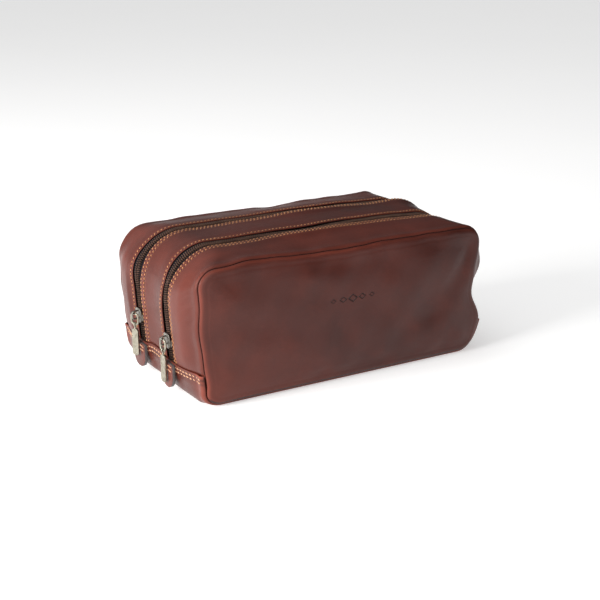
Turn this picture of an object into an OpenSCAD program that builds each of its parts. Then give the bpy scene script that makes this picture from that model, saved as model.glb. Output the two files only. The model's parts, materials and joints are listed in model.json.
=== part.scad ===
// Shaving kit bag: a soft leather box with two compartments, each closed by a zip
// that runs up one end, over the top and down the other end.
// X runs along the length, -Y is the front, +Z is up. The origin is the middle of
// the flat base. All sizes are in millimetres.

/* [Body] */
// Length over the bulged ends, at the zips
body_l = 260; // [240:1:290]
// Depth from the front seam to the back seam
body_d = 138; // [128:1:150]
// Height at the zips
body_h = 109; // [104:1:120]
// How far the ends bulge past the seams
end_bulge = 6; // [3:0.5:8]
// How far the top rises from the seams to the zips
top_crown = 5; // [2:0.5:8]
// How far the panels crown out from their seams
panel_crown = 7; // [4:0.5:10]
// How far the ends lean in towards the base
end_lean = 5; // [2:0.5:8]
// Radius of the top corners along the zips
zip_corner_r = 46; // [40:1:48]
// Radius of the top corners along the panel seams
seam_corner_r = 20; // [14:1:26]
// Radius of the bottom corners along the middle
low_corner_r = 20; // [14:1:21]
// Radius of the bottom corners along the panel seams
low_seam_r = 13; // [10:1:18]
// Height of the seam between the base gusset and the strips
base_seam_z = 22; // [20:1:26]
// Height where the front and back walls bend when a compartment is opened
bend_z = 54; // [53:1:56]

/* [Leather and lining] */
// Thickness of the leather
leather_t = 1.8; // [1.4:0.1:2]
// Thickness of the lining cloth
lining_t = 0.6; // [0.4:0.1:0.8]
// Thickness of the board in the base
board_t = 1.2; // [1:0.1:2]
// Thickness of the board in the divider
divider_t = 1; // [0.8:0.1:1.6]

/* [Zips] */
// Distance of each zip from the middle of the bag
zip_y = 25; // [23:0.5:28]
// Gap between the leather edges along a zip
zip_gap = 11; // [11:0.5:12]
// Width of the closed coils
coil_w = 7; // [6:0.5:7]
// Height of the coils above the tape
coil_h = 2.2; // [1.8:0.1:2.4]
// Thickness of the zip tape
tape_t = 0.7; // [0.5:0.1:0.8]
// How far each tape reaches from the middle of its zip
tape_reach = 10.5; // [9:0.5:11]

/* [Sliders and pulls] */
// Height of the middle of the front slider at rest
front_slider_z = 40.5; // [40:0.5:46]
// Height of the middle of the rear slider at rest
rear_slider_z = 45.5; // [40:0.5:46]
// Length of a slider
slider_l = 12; // [12:0.5:15]
// Width of a slider
slider_w = 10; // [10:0.1:10.6]
// Thickness of a slider's plates
plate_t = 1.2; // [1:0.1:1.4]
// Diameter of the pull ring's wire
wire_d = 1.8; // [1.6:0.1:1.8]
// Outer width of the pull ring
ring_w = 8.8; // [8.6:0.1:9.4]
// Outer height of the pull ring
ring_h = 10.2; // [10:0.1:12]
// Length of the pull tab's flat bar
pull_l = 21.5; // [18:0.5:22]
// Width of the pull tab
pull_w = 6.2; // [5.4:0.2:6.4]
// Thickness of the pull tab
pull_t = 1.8; // [1.4:0.1:2]
// How far the front pull is turned about the vertical, off the end wall
front_pull_turn = 6; // [0:1:24]
// How far the rear pull is turned about the vertical, off the end wall
rear_pull_turn = 24; // [0:1:24]
// How far a slider can move up from rest along the straight part of its zip
slider_up = 9.5; // [6:0.5:9.5]

/* [End tabs] */
// Width of a leather tab at a zip's end
tab_w = 20; // [14:0.5:20]
// How far a leather tab hangs below the base seam
tab_drop = 18; // [14:1:20]
// Thickness of a leather tab, two layers
tab_t = 2.8; // [2.2:0.1:3]

/* [Hidden] */

LEATHER = [0.36, 0.16, 0.13];
LINING = [0.22, 0.19, 0.17];
BOARD = [0.62, 0.52, 0.40];
TAPE = [0.10, 0.10, 0.12];
COIL = [0.24, 0.19, 0.16];
METAL = [0.74, 0.73, 0.66];

// Sizes that follow from the ones above.
half_d = body_d / 2;
flat_y = zip_y + zip_gap / 2;       // the middle of the bag is the same section out to here
panel_y = half_d - leather_t;       // where the gusset ends and the panels' rims begin
lean_top = base_seam_z + 40;        // the ends are upright above this
leg_angle = atan(end_lean / lean_top);
leaf_gap = 0.4;                     // clearance between the moving leaves and the fixed body
leaf_z = bend_z + leaf_gap / 2;
foot_z = bend_z - leaf_gap / 2;
feet_top = rear_slider_z + slider_up + slider_l / 2 + 3; // the zips are fixed up to here, past the sliders
tape_o = leather_t + 1;             // depth of the tapes below the leather's face
coil_back = 0.7;                    // each half of a zip stays this far from its middle
arc_n = 10;                         // steps around a top corner
low_n = 6;                          // steps around a bottom corner
ROUND = 48;

// ---- the bag's section, in X and Z, at any depth y and inset o ----

function bulge(y) = 1 - pow(max(0, (abs(y) - flat_y) / (half_d - flat_y)), 1.7);
function mix(a, b, y) = a + (b - a) * bulge(y);
function half_l(y) = mix(body_l / 2 - end_bulge, body_l / 2, y);
function height(y) = mix(body_h - top_crown, body_h, y);
function top_r(y) = mix(seam_corner_r, zip_corner_r, y);
function low_r(y) = mix(low_seam_r, low_corner_r, y);
function lean(z) = z < lean_top ? end_lean * (1 - z / lean_top) : 0;
function end_x(y, z, o) = half_l(y) - lean(z) - o;
function mirrored(points) = [for (i = [len(points) - 1:-1:0]) [-points[i][0], points[i][1]]];
function reversed(points) = [for (i = [len(points) - 1:-1:0]) points[i]];

// Left leg and left top corner, going up from height z0 to the top.
function rise(y, o, z0) =
    let (h = height(y), r = top_r(y))
    concat(
        z0 < lean_top ? [[-end_x(y, z0, o), z0], [-end_x(y, lean_top, o), lean_top]] : [],
        [for (i = [0:arc_n])
            let (a = 180 - 90 * i / arc_n,
                 p = [-(half_l(y) - r) + (r - o) * cos(a), h - r + (r - o) * sin(a)])
            if (p[1] > max(z0, lean_top)) p]
    );

// The whole upper run, from the left seam over the top to the right seam.
function upper(y, o, z0) = let (left = rise(y, o, z0)) concat(left, mirrored(left));

// The whole lower run, from the right seam under the base to the left seam.
function lower(y, o, z1) =
    let (r = low_r(y), side = [for (i = [0:low_n])
            let (a = -90 * i / low_n, z = r + (r - o) * sin(a))
            [half_l(y) - r - lean(z) + (r - o) * cos(a), z]])
    concat([[end_x(y, z1, o), z1]], side, mirrored(side), [[-end_x(y, z1, o), z1]]);

// Both runs as one closed outline.
function closed(y, o) =
    let (low = lower(y, o, base_seam_z))
    concat(upper(y, o, base_seam_z), [for (i = [1:len(low) - 2]) low[i]]);

// ---- solids made from sections ----

module along_y(y0, y1) {
    translate([0, y1, 0]) rotate([90, 0, 0]) linear_extrude(y1 - y0) children();
}

// A sheet between two open runs of points, the same at every depth.
module sheet(outer, inner, y0, y1) {
    along_y(y0, y1) polygon(concat(outer, reversed(inner)));
}

// The four corners of a sheet's section turn into one closed lofted solid.
module loft(sections, ys) {
    n = len(sections[0]);
    m = len(ys);
    points = [for (j = [0:m - 1]) for (p = sections[j]) [p[0], ys[j], p[1]]];
    sides = [for (j = [0:m - 2]) for (i = [0:n - 1])
        let (k = (i + 1) % n, a = j * n + i, b = j * n + k, c = a + n, d = b + n)
        each [[a, b, d], [a, d, c]]];
    // Each end is a ring of quads between the outer run and the reversed inner run.
    h = n / 2;
    ends = [for (i = [0:h - 2])
        let (a = i, b = i + 1, c = n - 1 - i, d = n - 2 - i, e = (m - 1) * n)
        each [[a, d, b], [a, c, d], [e + a, e + b, e + d], [e + a, e + d, e + c]]];
    polyhedron(points, concat(sides, ends), convexity = 8);
}

// A gusset sheet from y0 to y1 between insets o1 and o2, following the bulged section.
// Used for both halves: the far half is the near half mirrored.
module gusset_sheet(y0, y1, o1, o2, z0, steps = 5) {
    ys = [for (i = [0:steps]) y0 + (y1 - y0) * i / steps];
    loft([for (y = ys) concat(upper(y, o1, z0), reversed(upper(y, o2, z0)))], ys);
}

// The straight lower part of a gusset sheet at both ends of the bag, from z0 to z1.
module leg_sheet(y0, y1, o1, o2, z0, z1, steps = 5) {
    ys = [for (i = [0:steps]) y0 + (y1 - y0) * i / steps];
    function leg(y, o) = [[-end_x(y, z0, o), z0], [-end_x(y, z1, o), z1]];
    for (s = [0, 1]) mirror([s, 0, 0])
        loft([for (y = ys) concat(leg(y, o1), reversed(leg(y, o2)))], ys);
}

// ---- outer leather ----

module base_gusset() {
    steps = 4;
    side = [for (i = [0:steps]) -panel_y + (panel_y - flat_y) * i / steps];
    ys = concat(side, reversed([for (y = side) -y]));
    color(LEATHER)
    loft([for (y = ys) concat(lower(y, 0, base_seam_z), reversed(lower(y, leather_t, base_seam_z)))], ys);
}

module middle_strip() {
    edge = zip_y - zip_gap / 2;
    color(LEATHER)
    sheet(upper(0, 0, base_seam_z), upper(0, leather_t, base_seam_z), -edge, edge);
}

module front_strip() {
    color(LEATHER) gusset_sheet(-panel_y, -flat_y, 0, leather_t, leaf_z);
}

module front_strip_foot() {
    color(LEATHER) leg_sheet(-panel_y, -flat_y, 0, leather_t, base_seam_z, foot_z);
}

module back_strip_foot() {
    mirror([0, 1, 0]) front_strip_foot();
}

module back_strip() {
    mirror([0, 1, 0]) front_strip();
}

// A crowned sheet that fills the seam outline. inset is where its rim starts, and y_in is how
// far inside the leather's face it lies.
module crowned(inset, y_in, thick) {
    full = 40;
    even = 8;  // the outline is inset evenly up to here, and shrinks towards the middle beyond
    rings = concat([inset], [for (o = [2, 5, 10, 18, 28, 38]) if (o > inset + 0.5) o]);
    function crown(o) = panel_crown * (1 - pow(1 - min(o, full) / full, 2.4));
    n = len(closed(half_d, 0));
    outer = [for (o = rings) for (p = closed(half_d, min(o, even)))
        let (in = o - min(o, even), k = 1 - in / 52)
        [p[0] * (1 - in / (half_l(half_d) - even)), -half_d - crown(o) + y_in,
         52 + (p[1] - 52) * k]];
    inner = [for (p = outer) [p[0], p[1] + thick, p[2]]];
    m = len(rings);
    far = m * n;
    skin = [for (j = [0:m - 2]) for (i = [0:n - 1])
        let (k = (i + 1) % n, a = j * n + i, b = j * n + k, c = a + n, d = b + n)
        each [[a, d, b], [a, c, d], [far + a, far + b, far + d], [far + a, far + d, far + c]]];
    rim = [for (i = [0:n - 1]) let (k = (i + 1) % n) each [[i, k, far + k], [i, far + k, far + i]]];
    last = (m - 1) * n;
    caps = [[for (i = [n - 1:-1:0]) last + i], [for (i = [0:n - 1]) far + last + i]];
    polyhedron(concat(outer, inner), concat(skin, rim, caps), convexity = 6);
}

module above(z) {
    intersection() {
        children();
        translate([-body_l, -body_d, z]) cube([2 * body_l, 2 * body_d, 2 * body_h]);
    }
}

module below(z) {
    intersection() {
        children();
        translate([-body_l, -body_d, z - 2 * body_h]) cube([2 * body_l, 2 * body_d, 2 * body_h]);
    }
}

module panel_shell() {
    crowned(0, 0, leather_t);
}

module front_panel() {
    color(LEATHER) above(leaf_z) panel_shell();
}

module front_panel_foot() {
    color(LEATHER) below(foot_z) panel_shell();
}

module back_panel() {
    mirror([0, 1, 0]) front_panel();
}

module back_panel_foot() {
    mirror([0, 1, 0]) front_panel_foot();
}

// A leather tab at a zip's lower end, two layers thick with a round end, standing off the wall.
module end_tab() {
    top = base_seam_z + 1.5;
    straight = tab_drop + 1.5 - tab_w / 2;
    color(LEATHER)
    translate([-end_x(0, top, 0) - 0.1, 0, top]) rotate([0, -leg_angle / 2, 0])
    translate([-tab_t, 0, 0]) rotate([0, 90, 0]) linear_extrude(tab_t) union() {
        translate([0, -tab_w / 2]) square([straight, tab_w]);
        translate([straight, 0]) circle(d = tab_w, $fn = ROUND);
    }
}

module front_left_end_tab() { translate([0, -zip_y, 0]) end_tab(); }
module rear_left_end_tab() { translate([0, zip_y, 0]) end_tab(); }
module front_right_end_tab() { mirror([1, 0, 0]) front_left_end_tab(); }
module rear_right_end_tab() { mirror([1, 0, 0]) rear_left_end_tab(); }

// ---- lining, boards and seam bindings ----

board_top = leather_t + board_t;
strip_lining_o = tape_o + tape_t;

module base_board() {
    w = 2 * (body_l / 2 - end_lean - low_corner_r);
    d = 2 * (half_d - 8);
    r = 8;
    color(BOARD)
    translate([0, 0, leather_t]) linear_extrude(board_t) union() {
        square([w, d - 2 * r], center = true);
        square([w - 2 * r, d], center = true);
        for (x = [-1, 1]) for (y = [-1, 1])
            translate([x * (w / 2 - r), y * (d / 2 - r)]) circle(r, $fn = ROUND);
    }
}

module base_lining() {
    ys = [-panel_y + 2, -52, -flat_y, flat_y, 52, panel_y - 2];
    color(LINING)
    loft([for (y = ys) concat(lower(y, board_top, base_seam_z),
        reversed(lower(y, board_top + lining_t, base_seam_z)))], ys);
}

module middle_strip_lining() {
    reach = zip_y - 7;
    near = divider_t / 2 + lining_t;
    color(LINING) for (s = [-1, 1]) {
        sheet(upper(0, strip_lining_o, base_seam_z), upper(0, strip_lining_in, base_seam_z),
            s > 0 ? near : -reach, s > 0 ? reach : -near);
    }
}

lining_y0 = -panel_y + 2;
lining_y1 = -zip_y - tape_reach - 2;
strip_lining_in = strip_lining_o + lining_t;

module panel_lining() {
    crowned(board_top + lining_t + 0.3, leather_t + 0.15, lining_t);
}

module front_strip_lining() {
    color(LINING) gusset_sheet(lining_y0, lining_y1, strip_lining_o, strip_lining_in, leaf_z, 4);
}

module front_lining_foot() {
    color(LINING) {
        leg_sheet(lining_y0, lining_y1, strip_lining_o, strip_lining_in, base_seam_z, foot_z, 4);
        below(foot_z) panel_lining();
    }
}

module back_lining_foot() {
    mirror([0, 1, 0]) front_lining_foot();
}

module back_strip_lining() {
    mirror([0, 1, 0]) front_strip_lining();
}

module front_panel_lining() {
    color(LINING) above(leaf_z) panel_lining();
}

module back_panel_lining() {
    mirror([0, 1, 0]) front_panel_lining();
}

binding_o = strip_lining_in + 0.05;
binding_t = 1.4;
binding_w = 8;

// The bound raw edges of the panel seams, inside the bag.
module front_seam_binding() {
    y0 = -panel_y + 2.5;
    color(TAPE) gusset_sheet(y0, y0 + binding_w, binding_o, binding_o + binding_t, leaf_z, 2);
}

module back_seam_binding() {
    mirror([0, 1, 0]) front_seam_binding();
}

module base_seam_bindings() {
    ys = [-panel_y + 2.5, -panel_y + 2.5 + binding_w];
    color(TAPE) for (s = [0, 1]) mirror([0, s, 0])
        loft([for (y = ys) concat(lower(y, binding_o, foot_z),
            reversed(lower(y, binding_o + binding_t, foot_z)))], ys);
}

// A flat sheet of the whole inside outline, hung between the compartments.
module divider_sheet(y0, y1) {
    o = strip_lining_in;
    low = lower(0, board_top + lining_t, base_seam_z);
    along_y(y0, y1) polygon(concat(upper(0, o, base_seam_z), low));
}

module divider_board() {
    color(BOARD) divider_sheet(-divider_t / 2, divider_t / 2);
}

module divider_front_lining() {
    color(LINING) divider_sheet(-divider_t / 2 - lining_t, -divider_t / 2);
}

module divider_rear_lining() {
    color(LINING) divider_sheet(divider_t / 2, divider_t / 2 + lining_t);
}

// ---- zips ----

// One side of a zip: side is -1 for its front half and 1 for its rear half.
module tape_run(zip, side, z0) {
    a = zip + side * coil_back;
    b = zip + side * tape_reach;
    color(TAPE)
    sheet(upper(0, tape_o, z0), upper(0, tape_o + tape_t, z0), min(a, b), max(a, b));
}

module coil_run(zip, side, z0) {
    a = zip + side * coil_back;
    b = zip + side * coil_w / 2;
    color(COIL)
    sheet(upper(0, tape_o - coil_h, z0), upper(0, tape_o, z0), min(a, b), max(a, b));
}

// The lower ends of a zip's outer half, which stay with the fixed body around the slider.
module feet(z1) {
    below(z1) children();
}

module front_zip_rear_tape() { tape_run(-zip_y, 1, base_seam_z); }
module front_zip_rear_coil() { coil_run(-zip_y, 1, base_seam_z); }
module rear_zip_front_tape() { tape_run(zip_y, -1, base_seam_z); }
module rear_zip_front_coil() { coil_run(zip_y, -1, base_seam_z); }
module front_zip_tape_feet() { color(TAPE) feet(feet_top - leaf_gap) tape_run(-zip_y, -1, base_seam_z); }
module front_zip_coil_feet() { color(COIL) feet(feet_top - leaf_gap) coil_run(-zip_y, -1, base_seam_z); }
module rear_zip_tape_feet() { color(TAPE) feet(feet_top - leaf_gap) tape_run(zip_y, 1, base_seam_z); }
module rear_zip_coil_feet() { color(COIL) feet(feet_top - leaf_gap) coil_run(zip_y, 1, base_seam_z); }
module front_zip_front_tape() { color(TAPE) above(feet_top) tape_run(-zip_y, -1, base_seam_z); }
module front_zip_front_coil() { color(COIL) above(feet_top) coil_run(-zip_y, -1, base_seam_z); }
module rear_zip_rear_tape() { color(TAPE) above(feet_top) tape_run(zip_y, 1, base_seam_z); }
module rear_zip_rear_coil() { color(COIL) above(feet_top) coil_run(zip_y, 1, base_seam_z); }

// ---- sliders and pulls ----

slider_clear = 0.4;                              // clearance around the coils and the tapes
top_in = tape_o - coil_h - slider_clear;         // depth of the top plate's inner face
top_out = top_in - plate_t;
low_in = tape_o + tape_t + slider_clear;         // depth of the bottom plate's inner face
flange_t = 0.9;
post_t = 2 * coil_back - 0.5;
post_l = 3;
bridge_t = 1.1;
bridge_w = 2.4;
bridge_clear = 4.4;                              // height of the tunnel under the bridge
bridge_l = 7.3;
bridge_up = 0.75;                                // the bridge's middle is above the slider's
ring_pivot_out = wire_d / 2 + 1.9;               // how far the ring's top bar stands off the slider
ring_pivot_up = 2;                               // and how far it is above the slider's middle
ring_cw = ring_w / 2 - wire_d / 2;               // half width of the ring along its wire
ring_corner = 2.6;
ring_drop = ring_h - wire_d;                     // from the ring's top bar to its bottom bar
ring_bar = 2 * (ring_cw - ring_corner);          // straight length of the ring's bars
eye_r = wire_d / 2 + 0.15;
eye_wall = 0.75;
eye_w = ring_bar - 0.2;
neck_l = 1.8;

// Puts a slider's local frame on the end wall: its +X goes into the bag, +Z up the wall.
function rest_z(zip) = zip < 0 ? front_slider_z : rear_slider_z;
module on_wall(zip) {
    translate([-end_x(0, rest_z(zip), 0), zip, rest_z(zip)]) rotate([0, -leg_angle, 0]) children();
}

module block(x0, x1, w, z0, z1) {
    translate([x0, -w / 2, z0]) cube([x1 - x0, w, z1 - z0]);
}

// A plate with a round nose at its upper end and chamfered lower corners.
module slider_plate(x0, x1) {
    nose = slider_w / 2;
    translate([x0, 0, 0]) rotate([0, 90, 0]) linear_extrude(x1 - x0) union() {
        translate([-slider_l / 2 + nose, 0]) circle(nose, $fn = ROUND);
        polygon([[-slider_l / 2 + nose, -nose], [slider_l / 2 - 2, -nose], [slider_l / 2, -nose + 1.5],
            [slider_l / 2, nose - 1.5], [slider_l / 2 - 2, nose], [-slider_l / 2 + nose, nose]]);
    }
}

module slider_body(zip) {
    color(METAL) on_wall(zip) union() {
        slider_plate(top_out, top_in);
        slider_plate(low_in, low_in + plate_t);
        block(top_in, low_in, post_t, -slider_l / 2 + 0.6, -slider_l / 2 + 0.6 + post_l);
        for (s = [-1, 1]) translate([0, s * (slider_w / 2 - flange_t / 2), 0]) {
            block(top_in, tape_o - slider_clear, flange_t, -slider_l / 2 + 2, slider_l / 2 - slider_w / 2);
        }
    }
}

// A bridge over the middle of the slider, with a tunnel across it for the ring.
module slider_bridge(zip) {
    rise = bridge_clear + bridge_t;
    r = 2;
    color(METAL) on_wall(zip) translate([0, 0, bridge_up]) difference() {
        union() {
            block(top_out - rise + r, top_out, bridge_w, -bridge_l / 2, bridge_l / 2);
            block(top_out - rise, top_out - rise + r, bridge_w, -bridge_l / 2 + r, bridge_l / 2 - r);
            for (s = [-1, 1])
                translate([top_out - rise + r, bridge_w / 2, s * (bridge_l / 2 - r)]) rotate([90, 0, 0])
                    cylinder(r = r, h = bridge_w, $fn = ROUND);
        }
        block(top_out - bridge_clear, top_out + 1, bridge_w + 2, -bridge_l / 2 + 1.3, bridge_l / 2 - 1.3);
    }
}

// Where the ring's top bar sits: under the bridge, turned about the vertical.
module on_pivot(zip) {
    out = top_out - ring_pivot_out;
    x = -end_x(0, rest_z(zip), 0) + out * cos(leg_angle) - ring_pivot_up * sin(leg_angle);
    z = rest_z(zip) + out * sin(leg_angle) + ring_pivot_up * cos(leg_angle);
    translate([x, zip, z]) rotate([0, 0, zip < 0 ? front_pull_turn : rear_pull_turn]) children();
}

// A wire ring in the local YZ plane, hanging from its top bar at the origin.
module pull_ring(zip) {
    color(METAL) on_pivot(zip) union() {
        for (z = [0, -ring_drop])
            translate([0, -ring_bar / 2, z]) rotate([-90, 0, 0]) cylinder(d = wire_d, h = ring_bar, $fn = ROUND);
        for (s = [-1, 1])
            translate([0, s * ring_cw, -ring_drop + ring_corner])
                cylinder(d = wire_d, h = ring_drop - 2 * ring_corner, $fn = ROUND);
        for (q = [0, 90, 180, 270]) {
            y = (q == 0 || q == 270 ? 1 : -1) * ring_bar / 2;
            z = q < 180 ? -ring_corner : -ring_drop + ring_corner;
            translate([0, y, z]) rotate([90, 0, 90]) rotate([0, 0, q])
                rotate_extrude(angle = 90, $fn = ROUND) translate([ring_corner, 0]) circle(d = wire_d, $fn = ROUND);
        }
    }
}

// A flat bar that hangs from the ring's bottom bar by an eye.
module pull_tab(zip) {
    outer = eye_r + eye_wall;
    cham = 1.2;
    top = -ring_drop - outer - neck_l;
    low = top - pull_l;
    color(METAL) on_pivot(zip) difference() {
        union() {
            translate([0, -eye_w / 2, -ring_drop]) rotate([-90, 0, 0]) cylinder(r = outer, h = eye_w, $fn = ROUND);
            block(-pull_t / 2, pull_t / 2, eye_w, top, -ring_drop - eye_r - 0.2);
            translate([-pull_t / 2, 0, 0]) rotate([90, 0, 90]) linear_extrude(pull_t)
                polygon([[-pull_w / 2 + cham, top], [pull_w / 2 - cham, top], [pull_w / 2, top - cham],
                    [pull_w / 2, low + cham], [pull_w / 2 - cham, low], [-pull_w / 2 + cham, low],
                    [-pull_w / 2, low + cham], [-pull_w / 2, top - cham]]);
        }
        translate([0, -pull_w, -ring_drop]) rotate([-90, 0, 0]) cylinder(r = eye_r, h = 2 * pull_w, $fn = ROUND);
    }
}

module front_slider_body() { slider_body(-zip_y); }
module front_slider_bridge() { slider_bridge(-zip_y); }
module front_pull_ring() { pull_ring(-zip_y); }
module front_pull_tab() { pull_tab(-zip_y); }
module rear_slider_body() { slider_body(zip_y); }
module rear_slider_bridge() { slider_bridge(zip_y); }
module rear_pull_ring() { pull_ring(zip_y); }
module rear_pull_tab() { pull_tab(zip_y); }

// ---- output ----

base_gusset();
base_board();
base_lining();
base_seam_bindings();
front_panel_foot();
back_panel_foot();
front_strip_foot();
back_strip_foot();
front_lining_foot();
back_lining_foot();
middle_strip();
middle_strip_lining();
divider_board();
divider_front_lining();
divider_rear_lining();
front_zip_rear_tape();
front_zip_rear_coil();
rear_zip_front_tape();
rear_zip_front_coil();
front_zip_tape_feet();
front_zip_coil_feet();
rear_zip_tape_feet();
rear_zip_coil_feet();
front_left_end_tab();
rear_left_end_tab();
front_right_end_tab();
rear_right_end_tab();
front_panel();
front_strip();
front_panel_lining();
front_strip_lining();
front_zip_front_tape();
front_zip_front_coil();
front_seam_binding();
back_panel();
back_strip();
back_panel_lining();
back_strip_lining();
rear_zip_rear_tape();
rear_zip_rear_coil();
back_seam_binding();
front_slider_body();
front_slider_bridge();
front_pull_ring();
front_pull_tab();
rear_slider_body();
rear_slider_bridge();
rear_pull_ring();
rear_pull_tab();
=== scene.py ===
import json
import math

import bpy
import numpy as np
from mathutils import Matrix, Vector


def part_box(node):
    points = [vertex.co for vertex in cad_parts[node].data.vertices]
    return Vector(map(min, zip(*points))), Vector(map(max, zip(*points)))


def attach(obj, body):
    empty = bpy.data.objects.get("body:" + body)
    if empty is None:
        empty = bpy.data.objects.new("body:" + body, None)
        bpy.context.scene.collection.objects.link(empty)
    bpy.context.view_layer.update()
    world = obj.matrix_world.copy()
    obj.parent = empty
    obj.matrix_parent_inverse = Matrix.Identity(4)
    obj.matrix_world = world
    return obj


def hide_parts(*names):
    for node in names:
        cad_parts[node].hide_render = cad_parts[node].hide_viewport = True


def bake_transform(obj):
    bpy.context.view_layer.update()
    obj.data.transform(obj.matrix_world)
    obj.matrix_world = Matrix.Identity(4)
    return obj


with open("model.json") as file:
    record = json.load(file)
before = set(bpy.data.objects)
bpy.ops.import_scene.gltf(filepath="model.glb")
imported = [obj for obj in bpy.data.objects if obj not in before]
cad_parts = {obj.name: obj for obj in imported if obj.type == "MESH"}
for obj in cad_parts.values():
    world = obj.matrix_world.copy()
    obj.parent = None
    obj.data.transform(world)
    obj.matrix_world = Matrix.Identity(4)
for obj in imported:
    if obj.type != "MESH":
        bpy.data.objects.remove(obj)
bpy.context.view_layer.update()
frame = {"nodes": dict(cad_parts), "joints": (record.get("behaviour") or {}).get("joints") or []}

MM = 0.001


# ---------------------------------------------------------------- sizes, in mm
def box_mm(node):
    low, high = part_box(node)
    return np.array(low) / MM, np.array(high) / MM


HALF_L = box_mm("middle_strip")[1][0]
TOP = box_mm("middle_strip")[1][2]
CAD_SEAM = box_mm("base_gusset")[1][2]
SEAM_Z = CAD_SEAM + 2.5     # the gusset's folded edge laps over the seam
LEATHER_T = 1.8
HALF_D = box_mm("base_gusset")[1][1] + LEATHER_T
PANEL_CROWN = box_mm("back_panel")[1][1] - HALF_D
ZIP_Y = float(np.mean([box_mm("rear_slider_body")[0][1], box_mm("rear_slider_body")[1][1]]))
FLAT_Y = 30.5          # the middle of the bag keeps one section out to here
END_BULGE = 6.0        # the ends bulge this far past the seams
TOP_CROWN = 5.0
LEAN = 5.0             # the ends lean in this much at the base
LEAN_TOP = CAD_SEAM + 40
SLIDER_Z = {"front": 40.5, "rear": 45.5}
LEG_ANGLE = math.atan(LEAN / LEAN_TOP)
EDGE = 6.2             # from a zip's middle to the leather's edge
LEG_T, ARC_T = 0.115, 0.30   # where the leg and the corner end, as shares of a strip's run
LEG_U, ARC_U = 0.03, 0.11    # the same for the base gusset


def smooth(x, a, b):
    t = np.clip((np.asarray(x, float) - a) / (b - a), 0, 1)
    return t * t * (3 - 2 * t)


def bump(x, centre, width):
    return np.exp(-(((np.asarray(x, float) - centre) / width) ** 2))


def section(y):
    """Half length, height and the two corner radii of the bag's section at depth y."""
    out = np.clip((np.abs(y) - FLAT_Y) / (HALF_D - FLAT_Y), 0, 1)
    b = 1 - out ** 1.7
    seam_r = 14 + 8 * smooth(y, -20, 40)
    return HALF_L - END_BULGE * (1 - b), TOP - TOP_CROWN * (1 - b), seam_r + (38 - seam_r) * b, 13 + 7 * b


def lean(z):
    u = 1 - np.asarray(z, float) / LEAN_TOP
    return LEAN * (u + np.sqrt(u * u + 0.002)) / 2


def over(t, y, o, z0=None):
    """A point of the upper run: t goes from the left base seam over the top to the right one."""
    t, y, o = np.broadcast_arrays(np.asarray(t, float), np.asarray(y, float), np.asarray(o, float))
    z0 = SEAM_Z if z0 is None else z0
    half, height, r, _ = section(y)
    q = np.minimum(t, 1 - t)
    zl = z0 + (height - r - z0) * np.clip(q / LEG_T, 0, 1)
    xl = half - lean(zl) - o
    ph = np.clip((q - LEG_T) / (ARC_T - LEG_T), 0, 1) * math.pi / 2
    za = height - r + (r - o) * np.sin(ph)
    xa = half - r + (r - o) * np.cos(ph) - lean(za)
    along = np.clip((q - ARC_T) / (0.5 - ARC_T), 0, 1)
    xt = (half - r - lean(height)) * (1 - along)
    x = np.where(q < LEG_T, xl, np.where(q < ARC_T, xa, xt))
    z = np.where(q < LEG_T, zl, np.where(q < ARC_T, za, height - o))
    return np.stack([np.where(t < 0.5, -x, x), y, z], -1)


def under(t, y, o, z1=None):
    """A point of the lower run: t goes from the right base seam under the base to the left one."""
    t, y, o = np.broadcast_arrays(np.asarray(t, float), np.asarray(y, float), np.asarray(o, float))
    z1 = SEAM_Z if z1 is None else z1
    half, _, _, r = section(y)
    q = np.minimum(t, 1 - t)
    zl = z1 - (z1 - r) * np.clip(q / LEG_U, 0, 1)
    xl = half - lean(zl) - o
    ph = np.clip((q - LEG_U) / (ARC_U - LEG_U), 0, 1) * math.pi / 2
    za = r - (r - o) * np.sin(ph)
    xa = half - r - lean(za) + (r - o) * np.cos(ph)
    along = np.clip((q - ARC_U) / (0.5 - ARC_U), 0, 1)
    xb = (half - r - lean(0)) * (1 - along)
    x = np.where(q < LEG_U, xl, np.where(q < ARC_U, xa, xb))
    z = np.where(q < LEG_U, zl, np.where(q < ARC_U, za, o))
    return np.stack([np.where(t < 0.5, x, -x), y, z], -1)


def wave(p, length, seed, count=7):
    """Soft noise from a few plane waves, about -1 to 1, the same on every run."""
    rng = np.random.default_rng(seed)
    total = np.zeros(p.shape[:-1])
    for _ in range(count):
        d = rng.normal(size=3)
        d /= np.linalg.norm(d)
        total += np.sin(p @ d * (2 * math.pi / (length * rng.uniform(0.8, 1.4))) + rng.uniform(0, 7))
    return total / math.sqrt(count)


def by_slider(p):
    """1 on the straight part of each zip where its slider runs, 0 away from it."""
    x, y, z = p[..., 0], p[..., 1], p[..., 2]
    off = np.abs(np.abs(y) - ZIP_Y)
    return smooth(-x, 100, 116) * smooth(-z, -86, -62) * smooth(-off, -15, -7.5)


def sunk(p):
    """1 where the leather closes over a zip on top, 0 where the zip lies open to the face."""
    x, y, z = p[..., 0], p[..., 1], p[..., 2]
    return np.where(y < 0, bump(x, -8, 42), bump(x, 32, 50)) * smooth(z, 80, 100)


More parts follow.
